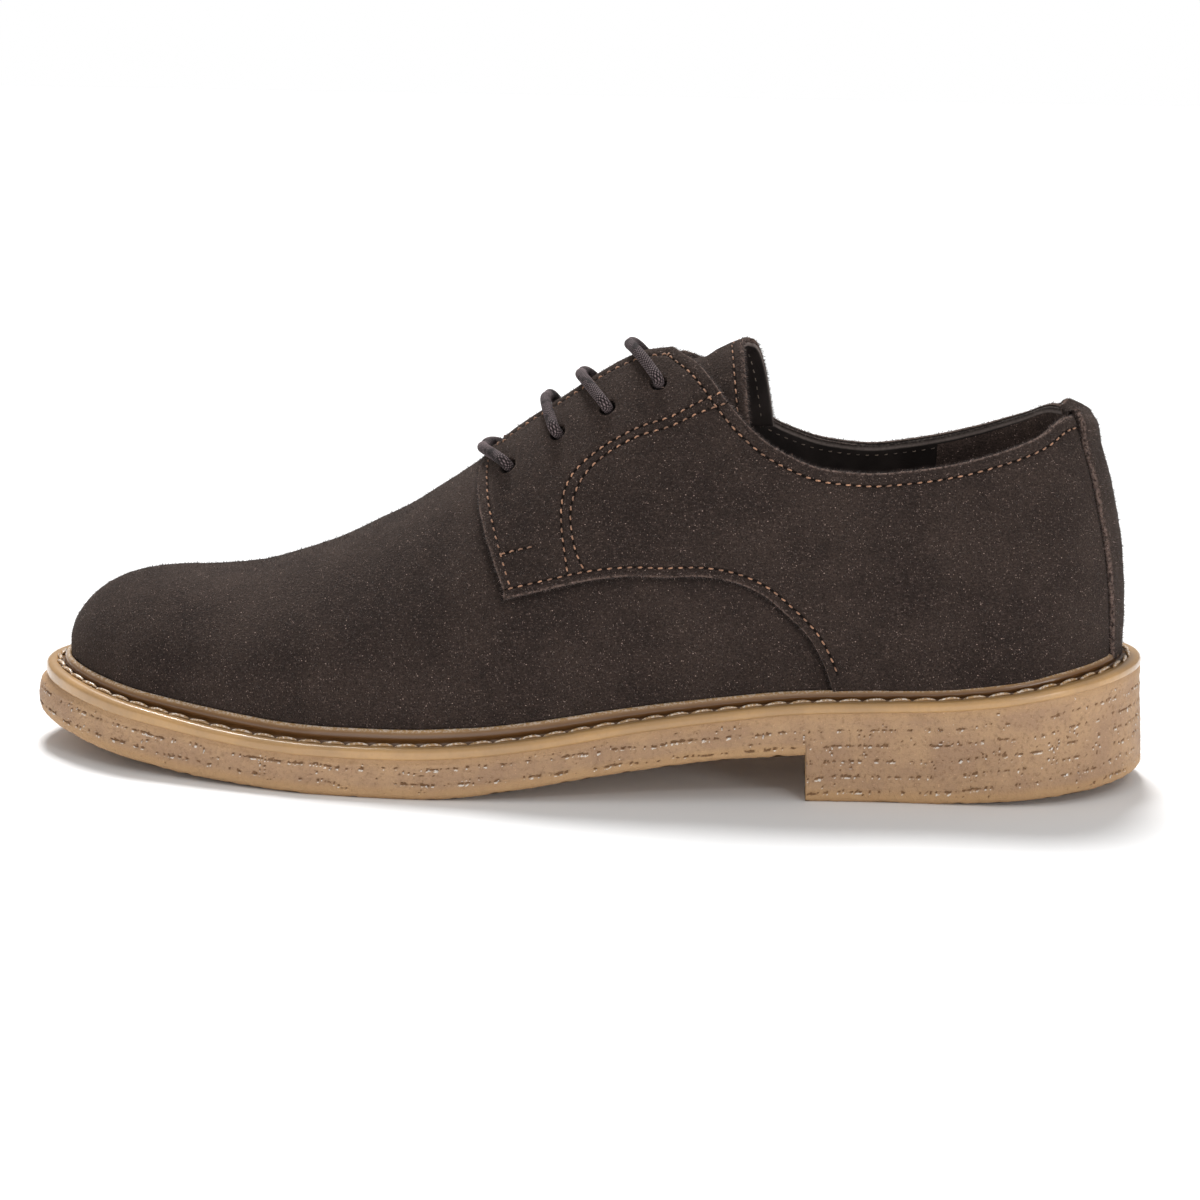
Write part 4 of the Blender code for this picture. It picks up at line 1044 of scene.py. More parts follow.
def quarter_grid(side, sizes, traces):
    """One quarter with its facing, edges rolled, from the facing back to the heel seam."""
    run = LENGTH * (TOE_CENTRE - HEEL_CENTRE) / MM
    base = quarter_columns(0.00066)
    inset = EDGE_INSETS[::-1] / run
    base = base[base < base[0] - 1.5 * EDGE_INSETS[0] / run]
    start = walk_at(QUARTER_EDGE[-1][0])
    columns = np.concatenate([start - inset, base])
    column_drop = np.concatenate([EDGE_DROPS[::-1], np.zeros(len(base))])
    rows = np.linspace(0.0, 1.0, 108)
    share = np.concatenate([np.zeros(6), rows, np.ones(6)])
    lean = walk_at(FACING_LEAN(share)) - start
    fade = np.clip(1 - (start - columns) / 0.55, 0.0, 1.0) ** 2
    walk = np.clip(columns[None, :] + lean[:, None] * fade[None, :], 0.0, 3.0)
    top = rim_rise(walk[-1], side, closing=False)
    low = QUARTER_LOW(Sections(columns, side).station)
    low = np.maximum(low, rand_rise(columns, side, RAND_HEIGHT * 0.55))
    span, low_span = rise_span(walk[-1], top, side), rise_span(columns, low + 0.02, side)
    rise = np.empty(walk.shape)
    first, last = EDGE_INSETS[0] / low_span, EDGE_INSETS[0] / span
    rise[:6] = low[None] + EDGE_INSETS[::-1, None] / low_span[None]
    top = np.minimum(top + 0.35 / span, 0.999)
    rise[-6:] = top[None] - EDGE_INSETS[:, None] / span[None]
    inner_low, inner_top = low + first * 1.5, top - last * 1.5
    rise[6:-6] = inner_low[None] + (inner_top - inner_low)[None] * rows[:, None]
    row_drop = np.concatenate([EDGE_DROPS[::-1], np.zeros(len(rows)), EDGE_DROPS])
    drop = np.maximum(row_drop[:, None], column_drop[None, :])
    return leather_grid(walk, rise, drop, side, OVERLAY_STEP, traces,
                        quarter_outline(side), sizes)


def strip_half(share):
    """Half the width of the strip up the heel, at a share of its height."""
    return np.interp(share, [0.0, 0.25, 0.55, 0.85, 1.0], STRIP_HALVES)


def strip_edge(side):
    """Points along the edge of the backstay on one side."""
    rise = np.linspace(0.02, 1.0, 130)
    dense = np.linspace(0.0, 0.8, 300)
    rim = rim_rise(np.zeros(1), -1)[0]
    places = []
    for level in rise * rim:
        ring = last_points(dense, level, side)
        across = np.abs(ring[:, 1] - ring[0, 1])
        reach = strip_half(level / rim) * 0.975
        places.append([np.interp(reach, across, ring[:, k]) for k in range(3)])
    return places


def quarter_outline(side):
    """Points along the quarter's lower and front edges."""
    station = np.linspace(QUARTER_EDGE[-1][0], QUARTER_EDGE[0][0], 260)
    low = last_points(walk_at(station), QUARTER_LOW(station), side)
    walk, rise = quarter_front(np.linspace(0.0, 1.0, 90))
    front = last_points(walk, rise, side)
    return np.concatenate([low, front]).tolist()


def vamp_grid(side, sizes, traces):
    """One side of the vamp, from under the quarter to the toe."""
    waist = np.linspace(walk_at(VAMP_BACK), walk_at(THROAT_FRONT), 92)
    front = np.linspace(walk_at(THROAT_FRONT), 2.0, 80)[1:]
    toe = 3.0 - np.linspace(1.0, 0.0, 66)[1:] ** 1.15
    columns = np.concatenate([waist, front, toe])
    open_top = (columns < walk_at(THROAT_FRONT) - 1e-6).astype(float)
    top = rim_rise(columns, side)
    rows = np.linspace(0.0, 1.0, 74)
    span = np.maximum(rise_span(columns, top, side), 5.0)
    rise = np.empty((len(rows) + 6, len(columns)))
    rise[:-6] = rows[:, None] * (top - open_top * 1.5 * EDGE_INSETS[0] / span)[None]
    rise[-6:] = top[None] - open_top[None] * EDGE_INSETS[:, None] / span[None]
    drop = np.concatenate([np.zeros(len(rows)), EDGE_DROPS])[:, None] * open_top[None]
    walk = np.broadcast_to(columns, rise.shape)
    grid = leather_grid(walk, rise, drop, side, 0.0, traces, quarter_outline(side), sizes)
    return grid, open_top


def all_traces(side, sizes, names):
    rows = seam_rows(side, sizes.seam_inset)
    points = [resample(last_points(*rows[name], side), 0.4 * MM) for name in names]
    return np.concatenate(points).tolist()


def make_upper():
    sizes, colours = settings()
    suede = shared(suede_finish, "brown_suede", colours.suede)
    names = ("top", "front", "low", "outer_arc", "inner_arc", "bar")
    quarters = [quarter_grid(side, sizes, all_traces(side, sizes, names)) for side in (-1, 1)]
    mean_seam(quarters, -1)
    obj = grid_piece("quarters", quarters, suede, WELD)
    punch(obj, (-1, 1), 2.2 * MM)
    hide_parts("upper")

    vamps = []
    for side in (-1, 1):
        grid, open_top = vamp_grid(side, sizes, [])
        vamps.append(grid)
    mean_seam(vamps, -1)
    close_ridge(vamps, open_top < 0.5, len(EDGE_DROPS))
    obj = grid_piece("vamp", vamps, suede, WELD)
    punch(obj, (-1, 1), 1.6 * MM)
    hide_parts("upper")


def make_lining():
    """The lining inside the whole upper, and the suede grip inside the heel."""
    colours = settings()[1]
    leather = shared(lining_finish, "lining_leather", colours.lining)
    grids = []
    for side in (-1, 1):
        heel = np.linspace(0.0, 1.0, 34)[:-1]
        waist = np.linspace(1.0, walk_at(THROAT_FRONT), 130)
        front = np.linspace(walk_at(THROAT_FRONT), 2.0, 40)[1:]
        toe = 3.0 - np.linspace(1.0, 0.0, 34)[1:]
        columns = np.concatenate([heel, waist, front, toe])
        top = rim_rise(columns, side)
        open_top = (columns < walk_at(THROAT_FRONT) - 1e-6).astype(float)
        span = np.maximum(rise_span(columns, top, side), 5.0)
        rows = np.linspace(0.0, 1.0, 40)
        insets = np.array([1.35, 1.10, 0.25, -0.10, 0.0])
        stands = np.array([0.0, 0.22, 0.40, 0.95, 1.75])
        rise = np.empty((45, len(columns)))
        rise[:40] = rows[:, None] * (top - open_top * 1.6 / span)[None]
        rise[40:] = np.minimum(top[None] - open_top[None] * insets[:, None] / span[None], 1.0)
        walk = np.broadcast_to(columns, rise.shape)
        stand = np.concatenate([np.zeros(40), stands])[:, None] * open_top[None]
        base, normals = surface(walk, rise, side)
        wave = 0.10 * rough(base, 12.0)
        lift = -UPPER_WALL / MM + stand + wave * (stand < 0.01)
        edge = (np.concatenate([np.zeros(40), [0.5, 1.0, 0.0, 0.0, 0.0]])[:, None]
                * open_top[None])
        turned = (np.concatenate([np.zeros(42), [1.0, 1.0, 1.0]])[:, None] * open_top[None])
        points = base + normals * (lift * MM)[..., None]
        floor = feather_height(Sections(columns, side).station) + 0.2 * MM
        points[..., 2] = np.maximum(points[..., 2], floor)
        grids.append({"points": points, "normals": -normals,
                      "marks": {"turned": turned, "edge": edge}})
    for column in (0, -1):
        mean_seam(grids, column)
    close_ridge(grids, open_top < 0.5, len(insets))
    obj = grid_piece("lining", grids, leather, WELD)
    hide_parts("upper")

    grids = []
    for side in (-1, 1):
        columns = np.concatenate([[1.06, 1.06, 1.055], np.linspace(1.05, 0.0, 60)])
        thick = np.concatenate([[0.0, 0.35, 0.72], np.full(60, 0.85)])
        top = rim_rise(columns, side)
        rows = np.linspace(0.30, 1.0, 46)
        rise = rows[:, None] * (top - 0.012)[None]
        walk = np.broadcast_to(columns, rise.shape)
        base, normals = surface(walk, rise, side)
        ends = np.minimum(1.0, (1.0 - rows) * 30)[:, None]
        stand = thick[None] * (0.35 + 0.65 * ends) + 0.12 * rough(base, 8.0)
        points = base - normals * ((UPPER_WALL / MM + stand) * MM)[..., None]
        edge = np.clip(1 - thick / 0.8, 0, 1)[None] + 0 * rise
        grids.append({"points": points, "normals": -normals,
                      "marks": {"seam": rise * 0, "edge": edge * 0.5, "under": rise * 0}})
    mean_seam(grids, -1)
    # A paler suede, lightened 1.8 times: partly the grip's own colour, partly painted light for
    # the shaded inside of the heel
    grip = suede_finish("heel_grip_suede", shade(colours.suede, 1.8))
    obj = grid_piece("heel_grip", grids, grip, WELD)


def stitch_meshes(rows, pitch, length, thread, lift, slant=0.10, seed=3):
    """Arched stitches on rows of points and normals, and painted-shade discs for the holes at
    their ends.
    """
    random = np.random.default_rng(seed)
    shares = np.array([-0.50, -0.44, -0.28, -0.08, 0.12, 0.32, 0.45, 0.50])
    swell = np.array([0.45, 0.80, 1.0, 1.0, 1.0, 0.95, 0.75, 0.40])
    sides = 6
    angles = np.arange(sides) * 2 * math.pi / sides
    points, faces, holes, hole_faces = [], [], [], []
    for path, ups in rows:
        ends = resample(path, pitch)
        tree = search_tree(path.tolist())
        for a, b in zip(ends, ends[1:]):
            middle = (a + b) / 2
            up = ups[tree.find(middle.tolist())[1]]
            along = unit(b - a)
            along = unit(along + np.cross(up, along) * (slant + random.normal(0, 0.04)))
            across = unit(np.cross(up, along))
            up = np.cross(along, across)
            size = length * random.uniform(0.92, 1.04)
            base = len(points) * len(shares) * sides
            rings = []
            for share, swollen in zip(shares, swell):
                height = lift * (1 - (2 * share) ** 2 * 1.9)
                centre = middle + along * share * size + up * height
                rings.append([centre + (across * math.cos(t) + up * math.sin(t)) * thread / 2
                              * swollen for t in angles])
            points.append(rings)
            faces.append(grid_indices(len(shares), sides, closed=True) + base)
            start = len(holes)
            for t in np.arange(8) * math.pi / 4:
                holes.append(a + (along * math.cos(t) * 1.5 + across * math.sin(t))
                             * thread * 0.5 + up * 0.08 * MM)
            hole_faces.append(list(range(start, start + 8)))
    return np.array(points).reshape(-1, 3), np.concatenate(faces), np.array(holes), hole_faces


def make_seams():
    sizes, colours = settings()
    thread = thread_finish("copper_thread", colours.thread)
    dark = dark_finish("needle_holes")
    rows = []
    proud = OVERLAY_STEP - sizes.seam_depth + 0.12 * MM
    for side in (-1, 1):
        for walk, rise in seam_rows(side, sizes.seam_inset).values():
            base, ups = surface(walk, rise, side)
            shift = crease_shift(base, side, sizes) + 0.16 * rough(base, 14.0)
            rows.append((base + ups * (proud + shift * MM)[:, None], ups))
    points, faces, holes, hole_faces = stitch_meshes(
        rows, sizes.stitch_pitch, sizes.stitch_length, sizes.thread, 0.30 * MM)
    obj = make_piece("seam_stitches", points, faces, None, thread)
    # Dark discs of painted shade where the needle holes are
    obj = make_piece("needle_holes", holes, hole_faces, None, dark)

    inside = []
    for side in (-1, 1):
        facing = np.linspace(walk_at(0.40), 0.12, 300)
        walk, rise = offset_row(facing, rim_rise(facing, side), side,
                                sizes.seam_inset * 1.15, -1)
        base, ups = surface(walk, rise, side)
        inside.append((base - ups * (UPPER_WALL + 0.02 * MM), -ups))
    pale = thread_finish("lining_thread", colours.lining_thread)
    points, faces, _, _ = stitch_meshes(
        inside, sizes.stitch_pitch, sizes.stitch_length * 0.8, sizes.thread * 0.75, 0.2 * MM)
    obj = make_piece("lining_stitches", points, faces, None, pale)


def tongue_rows(stations, shares, depth):
    """Points and outward directions of the tongue; shares run from -1 outer to 1 inner."""
    points = np.empty(stations.shape + (3,))
    normals = np.empty_like(points)
    for side in (-1, 1):
        chosen = (shares < 0) if side < 0 else (shares >= 0)
        station, share = stations[chosen], np.abs(shares[chosen])
        walk = walk_at(station)
        crown = TOE_BOX_HEIGHT + TONGUE_TOP(station) * (INSTEP_HEIGHT - TOE_BOX_HEIGHT)
        sections = Sections(walk, side)
        ladder = np.linspace(1.0, 0.3, 48)
        steps = np.stack([sections.at(np.full(walk.shape, k), crown) for k in ladder])
        arc = np.concatenate([np.zeros((1, len(walk))),
                              np.cumsum(np.linalg.norm(np.diff(steps, axis=0), axis=-1), 0)])
        width = TONGUE_HALF(station) * BALL_WIDTH * share
        rise = np.array([np.interp(w, arc[:, i], ladder) for i, w in enumerate(width)])
        normal = last_normals(walk, np.minimum(rise, 0.985), side, crown)
        step = 0.01
        slope = ((TONGUE_TOP(station - step) - TONGUE_TOP(station + step))
                 * (INSTEP_HEIGHT - TOE_BOX_HEIGHT) / (2 * step * LENGTH))
        top = unit(np.stack([-slope, 0 * slope, 1 + 0 * slope], -1))
        blend = np.clip(share / 0.12, 0, 1)[:, None]
        normal = unit(normal * blend + top * (1 - blend))
        points[chosen] = sections.at(rise, crown) - normal * depth[chosen][:, None]
        normals[chosen] = normal
    return points, normals


def tongue_tip(share):
    """Station of the tongue's end at a share of its half width, negative on the outer side."""
    (near, bend), (far, swing) = TONGUE_LEANS[-1], TONGUE_LEANS[1]
    return TONGUE_TIP - np.where(share < 0, near * np.abs(share) ** bend,
                                 far * (np.sqrt(share ** 2 + 0.002) - 0.0447) ** swing)


def tongue_sheet(insets, drops):
    """Stations, shares, tips and edge drops of one face of the tongue, its edges rolled."""
    insets, drops = np.array(insets), np.array(drops)
    rows, columns = 110, 56
    along = np.concatenate([np.linspace(0.0, 0.985, rows), np.ones(len(drops))])
    across = np.concatenate([[-1] * len(drops), np.linspace(-0.965, 0.965, columns),
                             [1] * len(drops)])
    side_inset = np.concatenate([insets[::-1], np.zeros(columns), insets])
    shares = across * (1 - side_inset * MM / (0.28 * BALL_WIDTH)) + 0 * along[:, None]
    tip = tongue_tip(shares)
    stations = TONGUE_FRONT + (tip - TONGUE_FRONT) * along[:, None]
    stations += np.concatenate([np.zeros(rows), insets])[:, None] * MM / LENGTH
    drop = np.maximum(np.concatenate([np.zeros(rows), drops])[:, None],
                      np.concatenate([drops[::-1], np.zeros(columns), drops])[None])
    return stations, shares, tip, drop


def make_tongue():
    sizes, colours = settings()
    suede = shared(suede_finish, "brown_suede", colours.suede)
    leather = shared(lining_finish, "lining_leather", colours.lining)
    stations, shares, tip, drop = tongue_sheet([1.0, 0.4, 0.12, 0.0, 0.0],
                                               [0.0, 0.04, 0.20, 0.55, 1.30])
    flat_points, normals = tongue_rows(stations, shares, 0 * stations)
    shift = 0.22 * rough(flat_points, 16.0) + 0.06 * rough(flat_points, 4.0)
    # The tongue's stitched row: pressed in, and darkened with painted shade through the seam mark
    seam_row = np.exp(-((stations - (tip + TONGUE_SEAM)) * LENGTH / MM / 0.7) ** 2)
    depth = UPPER_WALL + TONGUE_DROP + (drop - shift + seam_row * 0.3) * MM
    points, normals = tongue_rows(stations, shares, depth)
    # A pale band along the tongue's end: its raw cut edge, widened into a painted highlight on
    # the edge face
    band = np.clip(1.35 - (stations - tip) * LENGTH / MM, 0, 1) * 0.8
    edge = np.maximum(np.clip((drop - 0.01) / 0.1, 0, 1), band)
    obj = grid_piece("tongue_suede", [{"points": points, "normals": normals, "marks": {
        "seam": seam_row, "edge": edge, "under": edge * 0}}], suede)
    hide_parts("tongue")

    stations, shares, tip, rise = tongue_sheet([0.6, 0.25, 0.1, 0.05, 0.05],
                                               [0.0, 0.05, 0.25, 0.7, 1.05])
    depth = UPPER_WALL + TONGUE_DROP + TONGUE_THICKNESS - (rise - shift) * MM
    points, normals = tongue_rows(stations, shares, depth)
    edge = np.clip((rise - 0.02) / 0.3, 0, 1)
    obj = grid_piece("tongue_lining", [{"points": points, "normals": -normals, "marks": {
        "seam": edge * 0, "edge": edge}}], leather)

    share = np.linspace(-0.93, 0.93, 160)
    tip = tongue_tip(share)
    stations = tip + TONGUE_SEAM
    depth = np.full(share.shape, UPPER_WALL + TONGUE_DROP + 0.18 * MM)
    path, ups = tongue_rows(stations, share, depth)
    under, _ = tongue_rows(stations, share, depth + TONGUE_THICKNESS - 0.15 * MM)
    thread = shared(thread_finish, "copper_thread", colours.thread)
    points, faces, _, _ = stitch_meshes(
        [(path, ups)], sizes.stitch_pitch, sizes.stitch_length, sizes.thread * 0.9, 0.2 * MM)
    obj = make_piece("tongue_stitches", points, faces, None, thread)
    pale = shared(thread_finish, "lining_thread", colours.lining_thread)
    points, faces, _, _ = stitch_meshes(
        [(under, -ups)], sizes.stitch_pitch, sizes.stitch_length * 0.8, sizes.thread * 0.7,
        0.2 * MM)
    obj = make_piece("tongue_lining_stitches", points, faces, None, pale)


# Fold of the backstay over the collar: height above the rim and stand off the last, in
# millimetres
BACKSTAY_TOP = [
    (0.1, 2.05), (0.28, 1.9), (0.4, 1.5), (0.46, 0.9), (0.46, 0.1), (0.36, -0.9), (0.12, -1.8),
    (-0.3, -2.45), (-1.1, -2.75), (-2.5, -2.8),
]


def make_backstay():
    """The strip up the back seam, its edges rolled, folded over the collar at its top."""
    colours = settings()[1]
    suede = shared(suede_finish, "brown_suede", colours.suede)
    rows, half = 120, 30
    rim = rim_rise(np.zeros(1), -1)[0]
    low = rand_rise(np.zeros(1), -1, RAND_HEIGHT * 0.7)[0]
    span = rise_span(0.0, rim, -1)
    grids = []
    for side in (-1, 1):
        share = np.concatenate([np.linspace(0.0, 1.0, rows), np.ones(len(BACKSTAY_TOP))])
        rise = low + (rim - low) * share
        rise[rows:] += np.array([h for h, _ in BACKSTAY_TOP]) / span
        reach = np.concatenate([np.linspace(0.0, 0.93, half), [0.96, 0.98, 0.995, 1.0, 1.0]])
        side_drop = np.concatenate([np.zeros(half - 1), [0.03, 0.10, 0.28, 0.60, 1.2, 1.9]])
        dense = np.linspace(0.0, 0.75, 400)
        walk = np.empty((len(share), len(reach)))
        for i, level in enumerate(rise):
            across = last_points(dense, level, side)[:, 1]
            narrow = 1.0 - 0.24 * max(i - rows, 0) / 10
            walk[i] = np.interp(strip_half(min(share[i], 1.0)) * narrow * reach,
                                np.abs(across - across[0]), dense)
        rises = np.broadcast_to(rise[:, None], walk.shape)
        normals = last_normals(walk, np.minimum(rises, rim), side)
        base = last_points(walk, rises, side)
        proud = (OVERLAY_STEP + BACKSTAY_THICKNESS) / MM - 0.2
        fold = BACKSTAY_FOLD / MM * np.maximum(1 - np.abs(share - FOLD_PLACE) / FOLD_REACH, 0)
        height = np.concatenate([proud + fold[:rows], [s for _, s in BACKSTAY_TOP]])
        outside = (height > 0).astype(float)
        shift = 0.20 * rough(base, 8.0) + 0.07 * rough(base, 2.5)
        # A row pressed into the backstay, darkened a little with painted shade through the seam
        # mark
        seam = np.exp(-((reach * BACKSTAY_WIDTH / 2 / MM - 7.0) / 0.6) ** 2)[None] * (
            share < 0.97)[:, None]
        stand = height[:, None] - side_drop[None] * outside[:, None] + shift * outside[:, None]
        points = base + normals * ((stand - 0.10 * seam) * MM)[..., None]
        edge = (np.clip((side_drop - 0.02) / 0.1, 0, 1)
                * np.clip((1.0 - side_drop) / 0.4, 0, 1))[None] + 0 * rises
        # Painted shade on the lowest roll of the backstay's edges
        under = np.clip((side_drop - 1.0) / 0.4, 0, 1)[None] * outside[:, None]
        grids.append({"points": points, "normals": normals * (2 * outside - 1)[:, None, None],
                      "marks": {"seam": seam * 0.3, "edge": edge, "under": under}})
    mean_seam(grids, 0)
    obj = grid_piece("backstay_suede", grids, suede, WELD)
    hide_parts("backstay")


def lace_route():
    """The lace's path with its radius: bars over the throat and pressed runs under it."""
    route = []
    sunk = UPPER_WALL + GAP + LACE_HIDDEN / 2
    full, flat = LACE_DIAMETER / 2, LACE_HIDDEN / 2
    places = {side: eyelet_places(side) for side in (-1, 1)}
    found = {side: surface(walk_at(s), r, side) for side, (s, r) in places.items()}
    at = {side: points for side, (points, _) in found.items()}
    up = {side: normals for side, (_, normals) in found.items()}
    for i in range(EYELETS):
        first = -1 if i % 2 == 0 else 1
        start, start_up, end, end_up = at[first][i], up[first][i], at[-first][i], up[-first][i]
        route.append((start - start_up * sunk, flat))
        lean = unit(end - start) * 0.95 * MM
        route.append((start + lean - start_up * UPPER_WALL * 0.3, full * 0.88))
        samples = 14
        for k in range(samples + 1):
            t = k / samples
            side = first if t < 0.5 else -first
            station, rise = places[side][0][i], places[side][1][i]
            out = abs(2 * t - 1)
            station = station + LACE_LEANS[i] * (1 - out ** 1.7)
            rise = min(rise + (1 - rise) * (1 - out), 0.985)
            walk = np.array(walk_at(station))
            stand = OVERLAY_STEP + GAP * 2 + full - 1.3 * MM * (1 - out) ** 3
            base, normal = surface(walk, rise, side)
            point = base + normal * stand
            if out < 1e-6:
                point[1] = RIDGE(station) * BALL_WIDTH
            route.append((point, full))
        route.append((end - lean - end_up * UPPER_WALL * 0.3, full * 0.88))
        route.append((end - end_up * sunk, flat))
        if i < EYELETS - 1:
            after, after_up = at[-first][i + 1], up[-first][i + 1]
            for k in range(1, 4):
                t = k / 4
                axis = unit(end_up + (after_up - end_up) * t)
                route.append((end + (after - end) * t - axis * (sunk + GAP), flat))
    return np.array([p for p, _ in route]), np.array([r for _, r in route])


def make_laces():
    """A round braided cord: two sets of strands that cross over and under."""
    colours = settings()[1]
    finish = lace_finish("braided_lace", colours.lace)
    path, radii = lace_route()
    joined = smooth_path(np.concatenate([path, radii[:, None]], 1), 10)
    length = run_along(joined[:, :3])
    count = int(length[-1] / (0.20 * MM))
    wanted = np.linspace(0, length[-1], count)
    joined = np.stack([np.interp(wanted, length, joined[:, k]) for k in range(4)], -1)
    centres, radii = joined[:, :3], joined[:, 3]
    around = 50
    along = unit(np.gradient(centres, axis=0))
    reference = np.empty_like(along)
    reference[0] = unit(np.cross(along[0], [0.3, 0.2, 0.9]))
    for i in range(1, count):
        step = reference[i - 1] - along[i] * (reference[i - 1] @ along[i])
        reference[i] = step / max(np.linalg.norm(step), 1e-9)
    other = np.cross(along, reference)
    angle = np.arange(around) * 2 * math.pi / around
    strands, pitch = 10, 1.70 * MM
    turn = angle[None] / (2 * math.pi) * strands
    run = wanted[:, None] / pitch
    right, left = turn + run * 2, turn - run * 2
    cell_right, cell_left = np.floor(right), np.floor(left)
    over = (cell_right + cell_left) % 2 < 1
    across = np.where(over, right - cell_right, left - cell_left)
    down = np.where(over, left - cell_left, right - cell_right)
    round_top = np.sqrt(np.maximum(1 - (2 * across - 1) ** 2, 0.0))
    crown = np.sin(math.pi * down) ** 0.5
    strand = round_top * (0.45 + 0.55 * crown)
    swell = radii[:, None] * (0.80 + 0.24 * strand)
    ring = (reference[:, None] * np.cos(angle)[None, :, None]
            + other[:, None] * np.sin(angle)[None, :, None])
    points = centres[:, None] + ring * swell[..., None]
    obj = grid_piece("braided_lace", [{"points": points, "normals": ring, "closed": True,
                                       "marks": {"strand": strand}}], finish)
    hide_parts("laces")


def sole_loop(step):
    """Walks and sides once round the sole, evenly spaced, from the back by the outer side."""
    rounds = []
    for side in (-1, 1):
        dense = np.linspace(0.0, 3.0, 4000)
        total = run_along(outline_points(dense, side, WELT_WIDTH + 0 * dense, 0.0))
        run = np.linspace(0.0, total[-1], int(total[-1] / step) + 1)
        rounds.append((np.interp(run, total, dense), run))
    (outer, outer_run), (inner, inner_run) = rounds
    walks = np.concatenate([outer, inner[::-1][1:-1]])
    sides = np.concatenate([np.full(len(outer), -1), np.full(len(inner) - 2, 1)])
    back = inner_run[-1] - inner_run[::-1][1:-1]
    return walks, sides, np.concatenate([outer_run, outer_run[-1] + back])


def by_side(function, walks, sides, *arrays):
    """Works a function of walk and side out on both sides of a loop."""
    out = None
    for side in (-1, 1):
        chosen = sides == side
        values = function(walks[chosen], side, *[a[chosen] for a in arrays])
        if out is None:
            out = np.empty(walks.shape + values.shape[1:])
        out[chosen] = values
    return out


def tread_height(station):
    """Floor to the underside of the sole."""
    share = np.maximum(1.0 - station / HEEL_FLAT, 0.0)
    waist = TREAD_WAIST(station) * WAIST_LIFT + TREAD_TOE(station) * TOE_SPRING
    return np.where(station < (HEEL_BREAST + BREAST_RUN / 2) / LENGTH,
                    HEEL_BEVEL * share ** 1.3, waist)


def edge_station(walk, station):
    """The station of the sole's edge, which reaches further than the upper's."""
    back = np.maximum(station - (1 - walk) * WELT_WIDTH / LENGTH, 0.0)
    front = np.minimum(station + (walk - 2) * WELT_WIDTH / LENGTH, 1.0)
    return np.where(walk < 1, back, np.where(walk > 2, front, station))


# Section of the welt outside the lip: share of its width, drop below its top in millimetres
WELT_SECTION = [
    (0.27, 2.05), (0.33, 2.12), (0.39, 2.02), (0.44, 1.9), (0.5, 1.95), (0.555, 1.6),
    (0.61, 1.36), (0.68, 1.26), (0.76, 1.24), (0.84, 1.32), (0.91, 1.52), (0.96, 1.86),
    (0.99, 2.35), (1.0, 3.0), (1.0, 3.8), (1.0, 4.6), (0.995, 5.15), (0.975, 5.5), (0.93, 5.62),
]
# Lip against the upper: height above the feather edge and stand off the upper, in
# millimetres
LIP_SECTION = [
    (5.0, -0.25), (5.3, 0.15), (5.28, 0.5), (5.02, 0.95), (4.5, 1.35), (3.8, 1.58), (3.1, 1.58),
    (2.5, 1.35), (2.0, 1.0),
]


def strip_shift(station):
    """How far the groove and the strip stand above the welt's own height."""
    return np.interp(station, [0.30, 0.60, 0.80, 0.97], [0.6, -0.7, -0.7, 1.0]) * MM


def strip_foot(station):
    """How far the strip's lower edge hangs below the feather edge, in millimetres."""
    return np.interp(station, [0.32, 0.60, 0.80, 0.97], [-0.4, 1.3, 1.3, 0.6])


